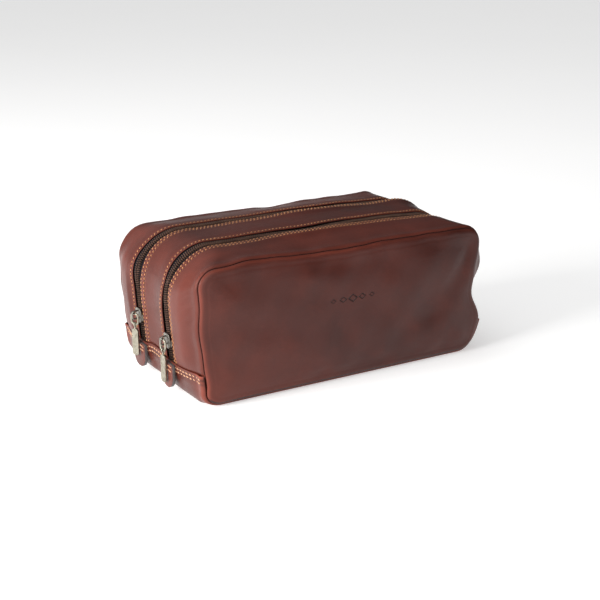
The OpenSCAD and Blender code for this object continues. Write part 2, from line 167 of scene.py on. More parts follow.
def warp(p):
    """Where the soft bag really is: two filled pouches with a valley between them, sagging between
    their corners, dented and pinched. By the sliders and on the floor it keeps its place."""
    p = np.array(p, float)
    x, y, z = p[..., 0].copy(), p[..., 1].copy(), p[..., 2].copy()
    left, right = smooth(-x, 84, 124), smooth(x, 84, 124)
    ends = right - left
    top = smooth(z, 60, 100)
    front, back = smooth(-y, 30, 66), smooth(y, 40, 66)
    inner = 1 - smooth(np.abs(y), 48, 67)
    # the ends: a valley between the pouches, and the base drawn in
    dx = ends * (3.2 - 6.0 * bump(y, -3, 28)) * inner * smooth(z, 16, 36) * smooth(-z, -104, -84)
    dx -= ends * 2.4 * bump(z, 7, 12) * bump(y, 0, 42)
    dz = left * 1.6 * bump(y, 4, 18) * bump(z, 24, 10)
    # the top: a low crown, uneven seams, a dent at the back
    dz += 1.6 * bump(y, 0, 44) * top
    dz += 1.7 * bump(x, -80, 26) * front * top
    dz -= 0.6 * bump(x, -5, 45) * front * top
    dz -= 1.3 * bump(x, 2, 12) * back * top
    # the right end: the front seam sits back, the wall pinches in and the gusset swells
    rear_soft = smooth(-y, 10, 60)
    dx -= right * 4.6 * smooth(-y, 61, 68) * bump(z, 70, 20)
    dx += right * 3.4 * bump(y, -60, 7) * bump(z, 70, 12)
    dz -= 1.7 * smooth(x, 30, 95) * bump(y, 0, 44) * top
    shoulder = smooth(x, 66, 112) * smooth(z, 62, 96)
    dz += shoulder * (3.0 * bump(y, 14, 10) + 0.7 * bump(y, -4, 12) - 1.8 * bump(y, 27, 5)
                      - 1.0 * bump(y, -26, 8))
    dx += shoulder * (1.7 * bump(y, 12, 11) - 1.0 * bump(y, -26, 8))
    corner = smooth(x, 92, 116) * smooth(z, 80, 100) * smooth(y, 50, 66)
    dx, dz = dx - 1.5 * corner, dz + 0.5 * corner
    dx -= right * 5.0 * rear_soft * bump(z, 51, 12)
    dx += right * 3.3 * rear_soft * bump(z, 25, 12)
    dx += left * 0.8 * bump(z, 30, 14) * front
    dz += top * (2.0 * bump(x, -16, 34) * bump(y, -36, 6) + 2.0 * bump(x, 28, 40) * bump(y, 14, 6))
    dy = 0.7 * np.sin(x / 37 + 0.9) * top * inner
    dy -= 1.6 * bump(x, -12, 26) * bump(y, -25, 15) * top
    shape = np.stack([wave(p, 62, 11), wave(p, 62, 12), wave(p, 62, 13)], -1) * 0.35
    edge = (0.12 + 0.22 * smooth(np.abs(y), 52, 66))[..., None]
    shape += np.stack([wave(p, 24, 21), wave(p, 24, 22), wave(p, 24, 23)], -1) * edge
    creases = bump(y, -59, 6) * bump(z, 72, 13) * left
    dx -= 0.55 * creases * np.sin(0.75 * z + 0.5 * y)
    move = np.stack([dx, dy, dz], -1) + shape
    move *= ((1 - by_slider(p)) * smooth(z, 1, 12))[..., None]
    p += move
    # the base's seams stand off the floor
    p[..., 2] += 2.4 * smooth(np.abs(y), 56, 67) * smooth(-z, -16, -3)
    # the left end stands fuller on the floor, but keeps its panel seams
    foot = smooth(-x, 92, 116) * (1 - 0.6 * smooth(np.abs(y), 58, 69))
    p[..., 0] -= 3.6 * foot * smooth(-z, -18, -1)
    p[..., 2] -= 1.6 * foot * bump(z, 4, 5)
    p[..., 2] = np.maximum(p[..., 2], 0.02)
    return p


# ---------------------------------------------------------------- meshes
def make(name, verts, faces, material, attrs=None, uv=None):
    mesh = bpy.data.meshes.new(name)
    mesh.from_pydata((np.asarray(verts, float).reshape(-1, 3) * MM).tolist(), [], [tuple(f) for f in faces])
    mesh.update()
    mesh.polygons.foreach_set("use_smooth", [True] * len(mesh.polygons))
    for key, values in (attrs or {}).items():
        a = mesh.attributes.new(key, "FLOAT", "POINT")
        a.data.foreach_set("value", np.asarray(values, np.float32).ravel())
    if uv is not None:
        layer = mesh.uv_layers.new(name="UVMap")
        index = np.zeros(len(mesh.loops), np.int32)
        mesh.loops.foreach_get("vertex_index", index)
        layer.data.foreach_set("uv", np.asarray(uv, np.float32).reshape(-1, 2)[index].ravel())
    for m in material if isinstance(material, (list, tuple)) else [material]:
        mesh.materials.append(m)
    obj = bpy.data.objects.new(name, mesh)
    bpy.context.scene.collection.objects.link(obj)
    return obj


def grid_faces(nu, nv, close_u=False, close_v=False):
    u = np.arange(nu if close_u else nu - 1)
    v = np.arange(nv if close_v else nv - 1)
    a, b = np.meshgrid(u, v, indexing="ij")
    a, b = a.ravel(), b.ravel()
    c, d = (a + 1) % nu, (b + 1) % nv
    return np.stack([a * nv + b, c * nv + b, c * nv + d, a * nv + d], 1).tolist()


def face_normals(v, faces):
    f = np.array(faces)
    return np.cross(v[f[:, 1]] - v[f[:, 0]], v[f[:, 2]] - v[f[:, 0]])


def kept_or_turned(faces, keep):
    """The faces as they are, or each turned over."""
    return faces if keep else [f[::-1] for f in faces]


def rounded(points, times=2):
    """Cuts the corners of an open run of points, keeping its two ends."""
    p = np.array(points, float)
    for _ in range(times):
        q = 0.75 * p[:-1] + 0.25 * p[1:]
        r = 0.25 * p[:-1] + 0.75 * p[1:]
        p = np.concatenate([p[:1], np.stack([q, r], 1).reshape(-1, p.shape[1]), p[-1:]])
    return p


def spread(leg, arc, top, a, b):
    """Shares along a run, with so many steps on each leg, corner and the top."""
    half = np.concatenate([np.linspace(0, a, leg, endpoint=False), np.linspace(a, b, arc, endpoint=False),
                           np.linspace(b, 0.5, top // 2, endpoint=False)])
    return np.concatenate([half, [0.5], 1 - half[::-1]])


RUN_T = spread(26, 36, 88, LEG_T, ARC_T)
RUN_U = spread(7, 16, 84, LEG_U, ARC_U)


def arc_length(p):
    return np.concatenate([[0], np.cumsum(np.linalg.norm(np.diff(p, axis=0), axis=1))])


BAG_MIDDLE = (0, 0, 52)


def outward(p, faces):
    """True if most faces look away from the bag's middle, judged from about 400 of them."""
    some = faces[:: max(1, len(faces) // 400)]
    v = p.reshape(-1, 3)
    corner = v[[f[0] for f in some]]
    return ((corner - BAG_MIDDLE) * face_normals(v, some)).sum() > 0


def settle(run, ts, y, o, lift=0.0, tuck=0.0):
    """Warped points of a sheet. lift raises it everywhere but by the sliders, and tuck slips its
    lower ends behind the base gusset's folded edge."""
    p = run(ts, y, o)
    extra = -lift * (1 - by_slider(p)) * (1 - 1.1 * sunk(p))
    if tuck:
        extra = extra + tuck * smooth(-p[..., 2], -SEAM_Z - 1.6, -SEAM_Z + 0.4)
    return warp(run(ts, y, o + extra))


def band_caps(rings, n):
    """Faces that close the two ends of a band whose profile goes out along one face and back along
    the other."""
    faces = []
    for first in (0, (rings - 1) * n):
        for k in range(n // 2 - 1 if n % 2 == 0 else n // 2):
            quad = [first + k, first + k + 1, first + n - 2 - k, first + n - 1 - k]
            quad = list(dict.fromkeys(quad))
            faces.append(quad if first else quad[::-1])
    return faces


def sheet_over(name, profile, material, attrs_of=None, run=over, lift=0.0, tuck=0.0):
    """A sheet that follows the bag's section, with its cross profile given as (y, inset) points.
    A profile that ends where it starts makes a closed band, with its two ends capped."""
    prof = np.asarray(profile, float)
    band = np.allclose(prof[0], prof[-1])
    if band:
        prof = prof[:-1]
    ts = RUN_T if run is over else RUN_U
    p = settle(run, ts[:, None], prof[:, 0][None, :], prof[:, 1][None, :], lift, tuck)
    n = len(prof)
    faces = grid_faces(len(ts), n, close_v=band)
    if band:
        faces += band_caps(len(ts), n)
    keep = volume(p.reshape(-1, 3), faces) >= 0 if band else outward(p, faces)
    faces = kept_or_turned(faces, keep)
    s = arc_length(p[:, n // 2])
    across = arc_length(np.stack([prof[:, 0], prof[:, 1], 0 * prof[:, 0]], 1))
    uv = np.stack(np.broadcast_arrays(s[:, None] / 10, across[None, :] / 10), -1)
    given = attrs_of(prof) if attrs_of else {}
    attrs = {k: np.broadcast_to(v[None, :], p.shape[:2]) for k, v in given.items()}
    return make(name, p, faces, material, attrs, uv)


def volume(v, faces):
    total = 0.0
    for f in faces:
        for k in range(1, len(f) - 1):
            total += float(np.dot(v[f[0]], np.cross(v[f[k]], v[f[k + 1]])))
    return total


def frames(y, o, lift=0.0):
    """Points, tangents, side and outward directions densely along a strip at depth y and inset o."""
    ts = np.linspace(0, 1, 5000)
    p, q = settle(over, ts, y, o, lift), settle(over, ts, y, o - 0.5, lift)
    side = settle(over, ts, y + 0.5, o, lift) - p
    n = np.cross(np.gradient(p, axis=0), side)
    n *= np.sign((n * (q - p)).sum(1, keepdims=True))
    return finish_frames(p, n)


def finish_frames(p, n):
    t = np.gradient(p, axis=0)
    t /= np.linalg.norm(t, axis=1, keepdims=True)
    n = n - (n * t).sum(1, keepdims=True) * t
    n /= np.linalg.norm(n, axis=1, keepdims=True)
    return p, t, np.cross(n, t), n


def place(template, fr, at):
    """Copies of a template, given in tangent, side and outward millimetres, along a run."""
    p, t, b, n = fr
    s = arc_length(p)
    pick = lambda a: np.stack([np.interp(at, s, a[:, k]) for k in range(3)], 1)
    p, t, b, n = pick(p), pick(t), pick(b), pick(n)
    return (p[:, None] + template[None, :, 0:1] * t[:, None] + template[None, :, 1:2] * b[:, None]
            + template[None, :, 2:3] * n[:, None])


def tube(path, radii, sides=8, up=(0, 0, 1), closed=False, squash_up=1.0):
    """A tube round a path: a grid of points, one ring for each path point."""
    path = np.asarray(path, float)
    d = np.roll(path, -1, 0) - np.roll(path, 1, 0) if closed else np.gradient(path, axis=0)
    d /= np.linalg.norm(d, axis=1, keepdims=True)
    up = np.broadcast_to(np.asarray(up, float), d.shape)
    side = np.cross(d, up)
    side /= np.linalg.norm(side, axis=1, keepdims=True)
    top = np.cross(side, d)
    a = np.linspace(0, 2 * math.pi, sides, endpoint=False)
    r = np.broadcast_to(np.asarray(radii, float), (len(path),))[:, None, None]
    return path[:, None] + r * (np.cos(a)[None, :, None] * side[:, None]
                                + squash_up * np.sin(a)[None, :, None] * top[:, None])


def tube_faces(rings, sides):
    """Faces of an open tube, with both ends capped."""
    first = list(range(sides))
    last = [(rings - 1) * sides + k for k in first[::-1]]
    return grid_faces(rings, sides, close_v=True) + [first, last]


def repeat_faces(faces, verts_each, count):
    return [[v + k * verts_each for v in f] for k in range(count) for f in faces]


# ---------------------------------------------------------------- materials
class Net:
    """Short calls for building a material's nodes."""

    def __init__(self, name):
        self.m = bpy.data.materials.new(name)
        self.m.use_nodes = True
        self.t = self.m.node_tree
        self.out = self.t.nodes["Principled BSDF"]

    def feed(self, socket, value):
        """Links another node's output to a socket, or gives the socket a value."""
        if isinstance(value, bpy.types.NodeSocket):
            self.t.links.new(value, socket)
        else:
            socket.default_value = value

    def node(self, kind, inputs=None, **props):
        n = self.t.nodes.new(kind)
        for k, v in props.items():
            setattr(n, k, v)
        for k, v in (inputs or {}).items():
            self.feed(n.inputs[k], v)
        return n

    def coords(self, kind="Object"):
        return self.node("ShaderNodeTexCoord").outputs[kind]

    def millimetres(self):
        return self.scaled(self.coords(), (1000, 1000, 1000))

    def scaled(self, vector, scale):
        return self.node("ShaderNodeMapping", {"Vector": vector, "Scale": scale}).outputs[0]

    def noise(self, vector, scale, detail=3.0, rough=0.55, distortion=0.0):
        return self.node("ShaderNodeTexNoise", {"Vector": vector, "Scale": scale, "Detail": detail,
                                                "Roughness": rough, "Distortion": distortion}).outputs[0]

    def math(self, op, a, b=0.0):
        return self.node("ShaderNodeMath", {0: a, 1: b}, operation=op).outputs[0]

    def ramp(self, value, low, high, to_low=0.0, to_high=1.0):
        return self.node("ShaderNodeMapRange", {"Value": value, "From Min": low, "From Max": high,
                                                "To Min": to_low, "To Max": to_high}).outputs[0]

    def mix(self, factor, a, b):
        n = self.node("ShaderNodeMix", data_type="RGBA")
        for socket, v in ((n.inputs["Factor"], factor), (n.inputs[6], a), (n.inputs[7], b)):
            self.feed(socket, v)
        return n.outputs[2]

    def attribute(self, name):
        return self.node("ShaderNodeAttribute", attribute_name=name).outputs["Fac"]

    def bump(self, height, strength, distance, normal=None):
        inputs = {"Height": height, "Strength": strength, "Distance": distance}
        if normal is not None:
            inputs["Normal"] = normal
        return self.node("ShaderNodeBump", inputs).outputs[0]

    def set(self, **sockets):
        for k, v in sockets.items():
            self.feed(self.out.inputs[k.replace("_", " ")], v)
        return self.m


DARK = (0.048, 0.0105, 0.0072, 1)
MID = (0.084, 0.0180, 0.0118, 1)
RED = (0.138, 0.0270, 0.0160, 1)
EDGE_RED = (0.205, 0.0440, 0.0260, 1)
# painted shade: the near-black painted into grooves, seams, tucked edges and stitch rows
PAINTED_GROOVE_SHADE = (0.008, 0.0030, 0.0024, 1)


def leather(name, kind="UV", shift=0.0, ornament=None):
    """Smooth satin leather, hand-burnished: dark clouds over reddish brown, redder at its folds,
    with painted light and painted shade in its grooves.
    """
    n = Net(name)
    at = n.coords(kind)
    if kind == "Object":
        at = n.scaled(at, (100, 100, 100))
    if shift:
        place_at = (shift, shift * 0.7, shift * 1.3)
        at = n.node("ShaderNodeMapping", {"Vector": at, "Location": place_at}).outputs[0]
    clouds = n.noise(at, 0.11, 2.0, 0.45, 0.3)
    patches = n.noise(at, 0.42, 3.0, 0.5, 0.3)
    mottle = n.noise(at, 2.6, 4.0, 0.6)
    colour = n.mix(n.ramp(clouds, 0.34, 0.66), DARK, MID)
    colour = n.mix(n.ramp(patches, 0.46, 0.80, 0, 0.34), colour, RED)
    colour = n.mix(n.ramp(mottle, 0.35, 0.75, 0, 0.22), colour, (0.050, 0.0112, 0.0076, 1))
    colour = n.mix(n.ramp(n.noise(at, 8.5, 3.0, 0.6), 0.42, 0.68, 0, 0.30), colour, DARK)
    # painted light: a redder, lighter tone mixed in where the bag is lit best
    glow = n.math("MULTIPLY", n.attribute("glow"), n.ramp(patches, 0.3, 0.65, 0.6, 1.0))
    colour = n.mix(glow, colour, RED)
    wear = n.math("MULTIPLY", n.attribute("wear"), n.ramp(patches, 0.3, 0.6, 0.6, 1.0))
    colour = n.mix(wear, colour, EDGE_RED)
    # painted shade: grooves, seams, tucked edges and stitch rows darken towards near-black
    colour = n.mix(n.attribute("deep"), colour, PAINTED_GROOVE_SHADE)
    # fine pores and creases of the grain
    pores = n.node("ShaderNodeTexVoronoi", {"Vector": at, "Scale": 9.0, "Randomness": 1.0},
                   feature="DISTANCE_TO_EDGE").outputs[0]
    pores = n.ramp(pores, 0.0, 0.16)
    grain = n.noise(at, 22.0, 3.0, 0.6)
    creases = n.noise(n.scaled(at, (0.8, 2.1, 1.0)), 1.6, 4.0, 0.6, 1.2)
    height = n.math("ADD", n.math("MULTIPLY", pores, 0.35), n.math("MULTIPLY", grain, 0.55))
    height = n.math("ADD", height, n.math("MULTIPLY", creases, 1.1))
    normal = n.bump(height, 0.20, 0.00035)
    if ornament:
        mark, deepen = ornament(n)
        normal = n.bump(mark, 1.0, 0.0009, normal)
        colour = n.mix(deepen, colour, (0.009, 0.0035, 0.003, 1))
    rough = n.ramp(n.math("ADD", n.math("MULTIPLY", mottle, 0.5), n.math("MULTIPLY", patches, 0.5)),
                   0.3, 0.7, 0.30, 0.42)
    return n.set(Base_Color=colour, Roughness=rough, Normal=normal, Specular_IOR_Level=0.30)


def cloth(name, dark, light, scale, strength=0.5, roughness=0.85, sheen=0.25, specular=0.5):
    """Plain woven cloth: threads over and under at the given number per centimetre."""
    n = Net(name)
    at = n.coords("UV")
    wob = n.noise(at, 3.0, 2.0)
    warp_threads, weft_threads = (
        n.node("ShaderNodeTexWave", {"Vector": at, "Scale": scale, "Distortion": 0.6, "Detail": 1.0},
               bands_direction=axis).outputs["Fac"] for axis in "XY")
    weave = n.math("MAXIMUM", warp_threads, weft_threads)
    # painted shade in the gaps between threads, which take the dark colour; the noise gives the threads an
    # uneven tone
    colour = n.mix(n.math("MULTIPLY", weave, n.ramp(wob, 0.3, 0.7, 0.7, 1.0)), dark, light)
    return n.set(Base_Color=colour, Roughness=roughness, Normal=n.bump(weave, strength, 0.0002),
                 Sheen_Weight=sheen, Sheen_Roughness=0.5, Specular_IOR_Level=specular)


def thread(name, dark, light):
    n = Net(name)
    at = n.millimetres()
    ply = n.node("ShaderNodeTexWave", {"Vector": at, "Scale": 0.9, "Distortion": 1.5, "Detail": 1.0},
                 bands_direction="DIAGONAL").outputs["Fac"]
    tone = n.noise(at, 0.09, 2.0)
    colour = n.mix(n.ramp(tone, 0.3, 0.7), dark, light)
    # painted shade: the grooves between the twist's plies take a darker copy of the thread's colour
    colour = n.mix(n.ramp(ply, 0.0, 0.5, 0.45, 0.0), colour, tuple(c * 0.35 for c in dark[:3]) + (1,))
    return n.set(Base_Color=colour, Roughness=0.55, Normal=n.bump(ply, 0.5, 0.00015), Sheen_Weight=0.3)


def metal(name, colour, tarnish, rough=0.27):
    n = Net(name)
    at = n.millimetres()
    stain = n.noise(at, 0.35, 4.0, 0.6, 0.4)
    fine = n.noise(at, 5.0, 3.0, 0.7)
    tint = n.mix(n.ramp(stain, 0.45, 0.75, 0, 0.75), colour, tarnish)
    return n.set(Base_Color=tint, Metallic=1.0, Normal=n.bump(fine, 0.12, 0.0001),
                 Roughness=n.ramp(stain, 0.3, 0.75, rough, rough + 0.2))


def coil_plastic(name):
    n = Net(name)
    at = n.millimetres()
    tone = n.noise(at, 0.12, 3.0)
    colour = n.mix(n.ramp(tone, 0.3, 0.7), (0.046, 0.024, 0.0165, 1), (0.092, 0.050, 0.036, 1))
    return n.set(Base_Color=colour, Roughness=0.5, Normal=n.bump(n.noise(at, 4.0), 0.15, 0.0001),
                 Specular_IOR_Level=0.18)


def cut_edge(name):
    n = Net(name)
    at = n.millimetres()
    layers = n.noise(n.scaled(at, (2.5, 0.3, 0.3)), 1.0, 3.0)
    colour = n.mix(n.ramp(layers, 0.35, 0.65), (0.045, 0.035, 0.034, 1), (0.12, 0.105, 0.105, 1))
    return n.set(Base_Color=colour, Roughness=0.5, Normal=n.bump(layers, 0.4, 0.0003))


MARK_AT = (0.5, 66.0)   # middle of the small pressed ornament on the front panel, X and Z
MARK_STEP = 8.6         # from one of its lozenges to the next


def lozenges(n):
    """Five small pressed lozenges in a row: a plain ornament."""
    xyz = n.node("ShaderNodeSeparateXYZ", {"Vector": n.node("ShaderNodeUVMap").outputs[0]})
    total = None
    for k, size in ((-2, 1.9), (-1, 2.5), (0, 3.3), (1, 2.5), (2, 1.9)):
        middle = (MARK_AT[0] + MARK_STEP * k, MARK_AT[1])
        place_mm = [n.math("MULTIPLY", xyz.outputs[axis], 10.0) for axis in (0, 1)]
        dx, dz = (n.math("ABSOLUTE", n.math("SUBTRACT", v, m)) for v, m in zip(place_mm, middle))
        d = n.math("ADD", n.math("DIVIDE", dx, size * 1.35), n.math("DIVIDE", dz, size))
        line = n.math("ABSOLUTE", n.math("SUBTRACT", d, 0.84))
        line = n.ramp(line, 0.07, 0.19, 1.0, 0.0)
        total = line if total is None else n.math("MAXIMUM", total, line)
    return n.math("SUBTRACT", 1.0, total), n.math("MULTIPLY", total, 0.85)


FRONT_LEATHER = leather("front_panel_leather", ornament=lozenges)
BACK_LEATHER = leather("back_panel_leather", shift=17.3)
FRONT_STRIP = leather("front_strip_leather", shift=31.0)
BACK_STRIP = leather("back_strip_leather", shift=47.0)
MIDDLE_STRIP = leather("middle_strip_leather", shift=63.0)
BASE_LEATHER = leather("base_leather", shift=81.0)
TAB_LEATHER = leather("tab_leather", kind="Object", shift=5.0)
LINING = cloth("lining_cloth", (0.018, 0.013, 0.011, 1), (0.085, 0.062, 0.052, 1), 4.5, 0.35)
TAPE = cloth("zip_tape_cloth", (0.0015, 0.0018, 0.003, 1), (0.006, 0.0065, 0.010, 1), 5.5, 0.6,
             roughness=0.9, sheen=0.03, specular=0.12)
BINDING = cloth("binding_cloth", (0.006, 0.006, 0.008, 1), (0.03, 0.03, 0.034, 1), 3.5, 0.6)
COIL = coil_plastic("zip_coil_plastic")
ORANGE = thread("orange_thread", (0.42, 0.160, 0.050, 1), (0.64, 0.290, 0.110, 1))
PEACH = thread("peach_thread", (0.48, 0.22, 0.11, 1), (0.68, 0.38, 0.22, 1))
METAL = metal("antique_metal", (0.44, 0.41, 0.33, 1), (0.13, 0.11, 0.075, 1), 0.24)
SLIDER_METAL = metal("slider_metal", (0.30, 0.285, 0.25, 1), (0.07, 0.062, 0.05, 1), 0.26)
CUT_EDGE = cut_edge("cut_edge")
BOARD = cloth("board_fibre", (0.30, 0.22, 0.14, 1), (0.42, 0.33, 0.22, 1), 1.5, 0.2)


# ---------------------------------------------------------------- profiles across the strips
SEAM_TUCK = [(HALF_D - 2.9, 3.2), (HALF_D - 1.5, 1.9), (HALF_D - 0.75, 0.95)]   # turned in at a panel seam
SEAM_ROLL = [*SEAM_TUCK, (HALF_D - 0.45, 0.2), (HALF_D - 0.85, -0.5),
             (HALF_D - 2.1, -1.05), (HALF_D - 4.2, -0.85), (HALF_D - 7.5, -0.15)]
ROW_1, ROW_2 = EDGE + 1.9, EDGE + 5.8   # stitch rows, from a zip's middle


def zip_edge(rows):
    """The folded edge beside a zip and its sewn grooves, as (distance from the zip, inset): the
    leather slopes down to the tape it is sewn to."""
    out = [(EDGE + 13.0, 0.0), (EDGE + 9.0, -0.10)]
    if rows == 2:
        out += [(ROW_2 + 1.5, -0.10), (ROW_2 + 0.55, 0.12), (ROW_2, 0.36), (ROW_2 - 0.55, 0.16)]
    else:
        out += [(ROW_2 + 0.4, 0.0)]
    out += [(ROW_1 + 1.6, 0.02), (ROW_1 + 0.55, 0.26), (ROW_1, 0.50), (ROW_1 - 0.55, 0.30),
            (EDGE + 0.7, 0.28), (EDGE + 0.15, 0.48), (EDGE - 0.02, 0.85), (EDGE + 0.1, 1.3),
            (EDGE + 1.1, 1.75)]
    return out


def outer_profile(sign, rows):
    """Across the front (-1) or back (1) strip, from the panel seam to the zip."""
    seam = [(sign * y, o) for y, o in SEAM_ROLL] + [(sign * 56, 0.0), (sign * 50, 0.0)]
    return rounded(seam + [(sign * (ZIP_Y + d), o) for d, o in zip_edge(rows)])


def middle_profile():
    left = [(-ZIP_Y + d, o) for d, o in zip_edge(1)][::-1]
    right = [(ZIP_Y - d, o) for d, o in zip_edge(2)]
    return rounded(left + [(-3, 0), (0, 0), (3, 0)] + right)


def leather_attrs(rows, edges, seams):
    """Gives a profile of (y, inset) its wear (on folds and ridges), deep (painted shade in its
    grooves, tucks and stitch rows) and its painted light (a redder sheen).
    """
    def of(prof):
        y, o = prof[:, 0], prof[:, 1]
        wear = np.zeros(len(y))
        # painted shade on the leather turned under a zip's edge and into a panel seam
        in_seam = smooth(np.abs(y), HALF_D - 3, HALF_D - 2)
        deep = np.maximum(smooth(o, 0.5, 1.5), smooth(o, -0.2, 0.9) * in_seam)
        for e in edges:
            wear = np.maximum(wear, 0.35 * np.exp(-np.abs(y - e) / 1.2))
        for s in seams:
            wear = np.maximum(wear, 0.22 * np.exp(-((np.abs(y - s) - 1.4) / 1.4) ** 2))
        # painted shade along each stitch row's groove; the ridges beside it get wear
        for r in rows:
            deep = np.maximum(deep, 0.8 * np.exp(-((y - r) / 0.55) ** 2))
            wear = np.maximum(wear, 0.35 * np.exp(-((np.abs(y - r) - 1.0) / 0.8) ** 2))
        # painted light: a redder sheen painted along the outer strips, strongest about 50 mm out from the
        # middle
        glow = 0.45 * np.exp(-np.abs(np.abs(y) - 50) / 14)
        return {"wear": wear * (1 - deep), "deep": deep, "glow": glow}
    return of


def blended(obj):
    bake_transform(obj)


SIDES = (("front", -1, "front_leaf", FRONT_STRIP), ("back", 1, "rear_leaf", BACK_STRIP))
for side, sign, leaf, mat in SIDES:
    rows = 2 if sign < 0 else 1
    stitched = [sign * (ZIP_Y + ROW_1)] + ([sign * (ZIP_Y + ROW_2)] if rows == 2 else [])
    obj = sheet_over(f"{side}_strip_leather", outer_profile(sign, rows), mat,
                        leather_attrs(stitched, [sign * (ZIP_Y + EDGE)], [sign * HALF_D]), tuck=1.1)
    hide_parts(f"{side}_strip", f"{side}_strip_foot")
    blended(obj)

MIDDLE_ROWS = [-ZIP_Y + ROW_1, ZIP_Y - ROW_1, ZIP_Y - ROW_2]
obj = sheet_over("middle_strip_leather", middle_profile(), MIDDLE_STRIP,
                 leather_attrs(MIDDLE_ROWS, [-ZIP_Y + EDGE, ZIP_Y - EDGE], []), tuck=1.1)
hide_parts("middle_strip")
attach(obj, "bag")


# ---------------------------------------------------------------- base gusset
# The base gusset's turned edge, as (distance in from the panel seam, how far it stands proud).
BASE_ROLL = ((0.25, 0.7), (0.9, 1.7), (2.5, 2.1), (4.6, 1.5), (8.0, 0.2))


def base_gusset():
    half = [*SEAM_TUCK, (HALF_D - 0.42, 0.15), *[(HALF_D - d, -rise) for d, rise in BASE_ROLL],
            *[(y, 0.0) for y in (52, 38, 26, 13, 0)]]
    prof = rounded([(-y, o) for y, o in half] + [(y, o) for y, o in half[-2::-1]])
    top_z = SEAM_Z + 0.5
    y, o = prof[:, 0][None, :], prof[:, 1][None, :]
    first = under(RUN_U[:, None], y, o, top_z)
    extra = -0.62 * smooth(first[..., 2], 11, 17)
    p = under(RUN_U[:, None], y, o + extra, top_z)
    fold = rounded([(-1.4, 1.0), (-0.45, 0.85), (0.12, 0.35), (0.05, -0.45), (-0.5, -0.78), (-1.3, -0.72)], 1)
    half_l, _, _, _ = section(y)
    lip = []
    for dz, do in fold:
        z = top_z + dz + 0 * y
        lip.append(np.stack([half_l - lean(z) - o - do, y + 0 * z, z], -1)[0])
    lip = np.array(lip)
    mirror = lip * np.array([-1, 1, 1])
    keep = slice(2, len(RUN_U) - 2)
    p = np.concatenate([lip, p[keep], mirror[::-1]])
    p = warp(p)
    faces = grid_faces(p.shape[0], p.shape[1])
    faces = kept_or_turned(faces, outward(p, faces))
    z, yy = p[..., 2], np.abs(prof[:, 0])[None, :]
    # painted shade where the gusset's edge turns into the seam and along its stitch rows on the end walls
    deep = smooth(o, -0.6, 0.8) + 0 * z
    up = (np.abs(p[..., 0]) > 100)
    for row in BASE_ROWS:
        deep = np.maximum(deep, 0.7 * np.exp(-((z - row) / 0.6) ** 2) * up)
    wear = 0.5 * np.exp(-((HALF_D - 1.8 - yy) / 2.2) ** 2)
    wear = wear + 0.8 * np.exp(-np.abs(z - top_z) / 1.1) * up
    # painted shade: the innermost rows of the folded lip on each end wall are painted fully dark
    deep[:3] = 1
    deep[-3:] = 1
    along = arc_length(p[:, p.shape[1] // 2])
    uv = np.stack(np.broadcast_arrays(along[:, None] / 10, prof[:, 0][None, :] / 10), -1)
    # painted light: the gusset's end walls are painted redder and lighter
    attrs = {"wear": np.clip(wear, 0, 1) * (1 - deep), "deep": deep, "glow": 0.2 + 0.5 * up}
    obj = make("base_gusset_leather", p, faces, BASE_LEATHER, attrs, uv)
    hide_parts("base_gusset")
    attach(obj, "bag")


BASE_ROWS = (SEAM_Z - 2.1, SEAM_Z - 5.2)
base_gusset()


# ---------------------------------------------------------------- panels
PANEL_T = spread(26, 18, 84, LEG_T, ARC_T)
PANEL_U = spread(4, 11, 84, LEG_U, ARC_U)[1:-1]


def outline(inset, sign):
    """The closed seam outline of a panel, at an inset: the upper run and then the lower one."""
    y = sign * HALF_D
    return np.concatenate([over(PANEL_T, y, inset), under(PANEL_U, y, inset)])


EVEN = 8.0   # the outline is inset evenly up to here, and goes to the middle line beyond


def middle_line(ring):
    """For each point of a ring its place on the ring's middle line, and how far in that line is."""
    mid_z = 0.5 * (ring[:, 2].max() + ring[:, 2].min())
    deep = 0.5 * (ring[:, 2].max() - ring[:, 2].min())
    reach = ring[:, 0].max() - deep
    line = np.stack([np.clip(ring[:, 0], -reach, reach), ring[:, 1], np.full(len(ring), mid_z)], 1)
    return line, deep


LAST_RING = 0.985   # the last ring's share of the way to the middle line; triangles close the rest


def panel_points(rim, depth_of, sign, rings=26):
    """Rings of points from the seam to the middle line. rim is a run of (inset, depth) at the seam."""
    out = []
    insets = []
    for inset, depth in rim:
        p = outline(inset, sign)
        p[:, 1] = sign * (HALF_D + depth)
        out.append(p)
        insets.append(inset)
    base = outline(EVEN, sign)
    target, deep = middle_line(base)
    for f in np.linspace(0, LAST_RING, rings):
        p = base + (target - base) * f
        inset = EVEN + f * deep
        p[:, 1] = sign * (HALF_D + depth_of(inset))
        out.append(p)
        insets.append(inset)
    return np.array(out), np.array(insets)


def crown(inset):
    s = np.clip(inset / 46, 0, 1)
    return PANEL_CROWN * 0.97 * (1 - (1 - s) ** 2.5) + 0.75 * np.exp(-(((inset - 5) / 4.5) ** 2))


def across_middle(start, over_count, ring):
    """Triangles that close a ring of points round the middle line, between its upper run and its
    lower one."""
    upper = list(range(over_count))
    lower = list(range(len(ring) - 1, over_count - 1, -1))
    i = j = 0
    faces = []
    while i < len(upper) - 1 or j < len(lower) - 1:
        more_above = i < len(upper) - 1
        if j == len(lower) - 1 or (more_above and ring[upper[i + 1], 0] <= ring[lower[j + 1], 0]):
            faces.append([start + upper[i], start + upper[i + 1], start + lower[j]])
            i += 1
        else:
            faces.append([start + upper[i], start + lower[j + 1], start + lower[j]])
            j += 1
    return faces


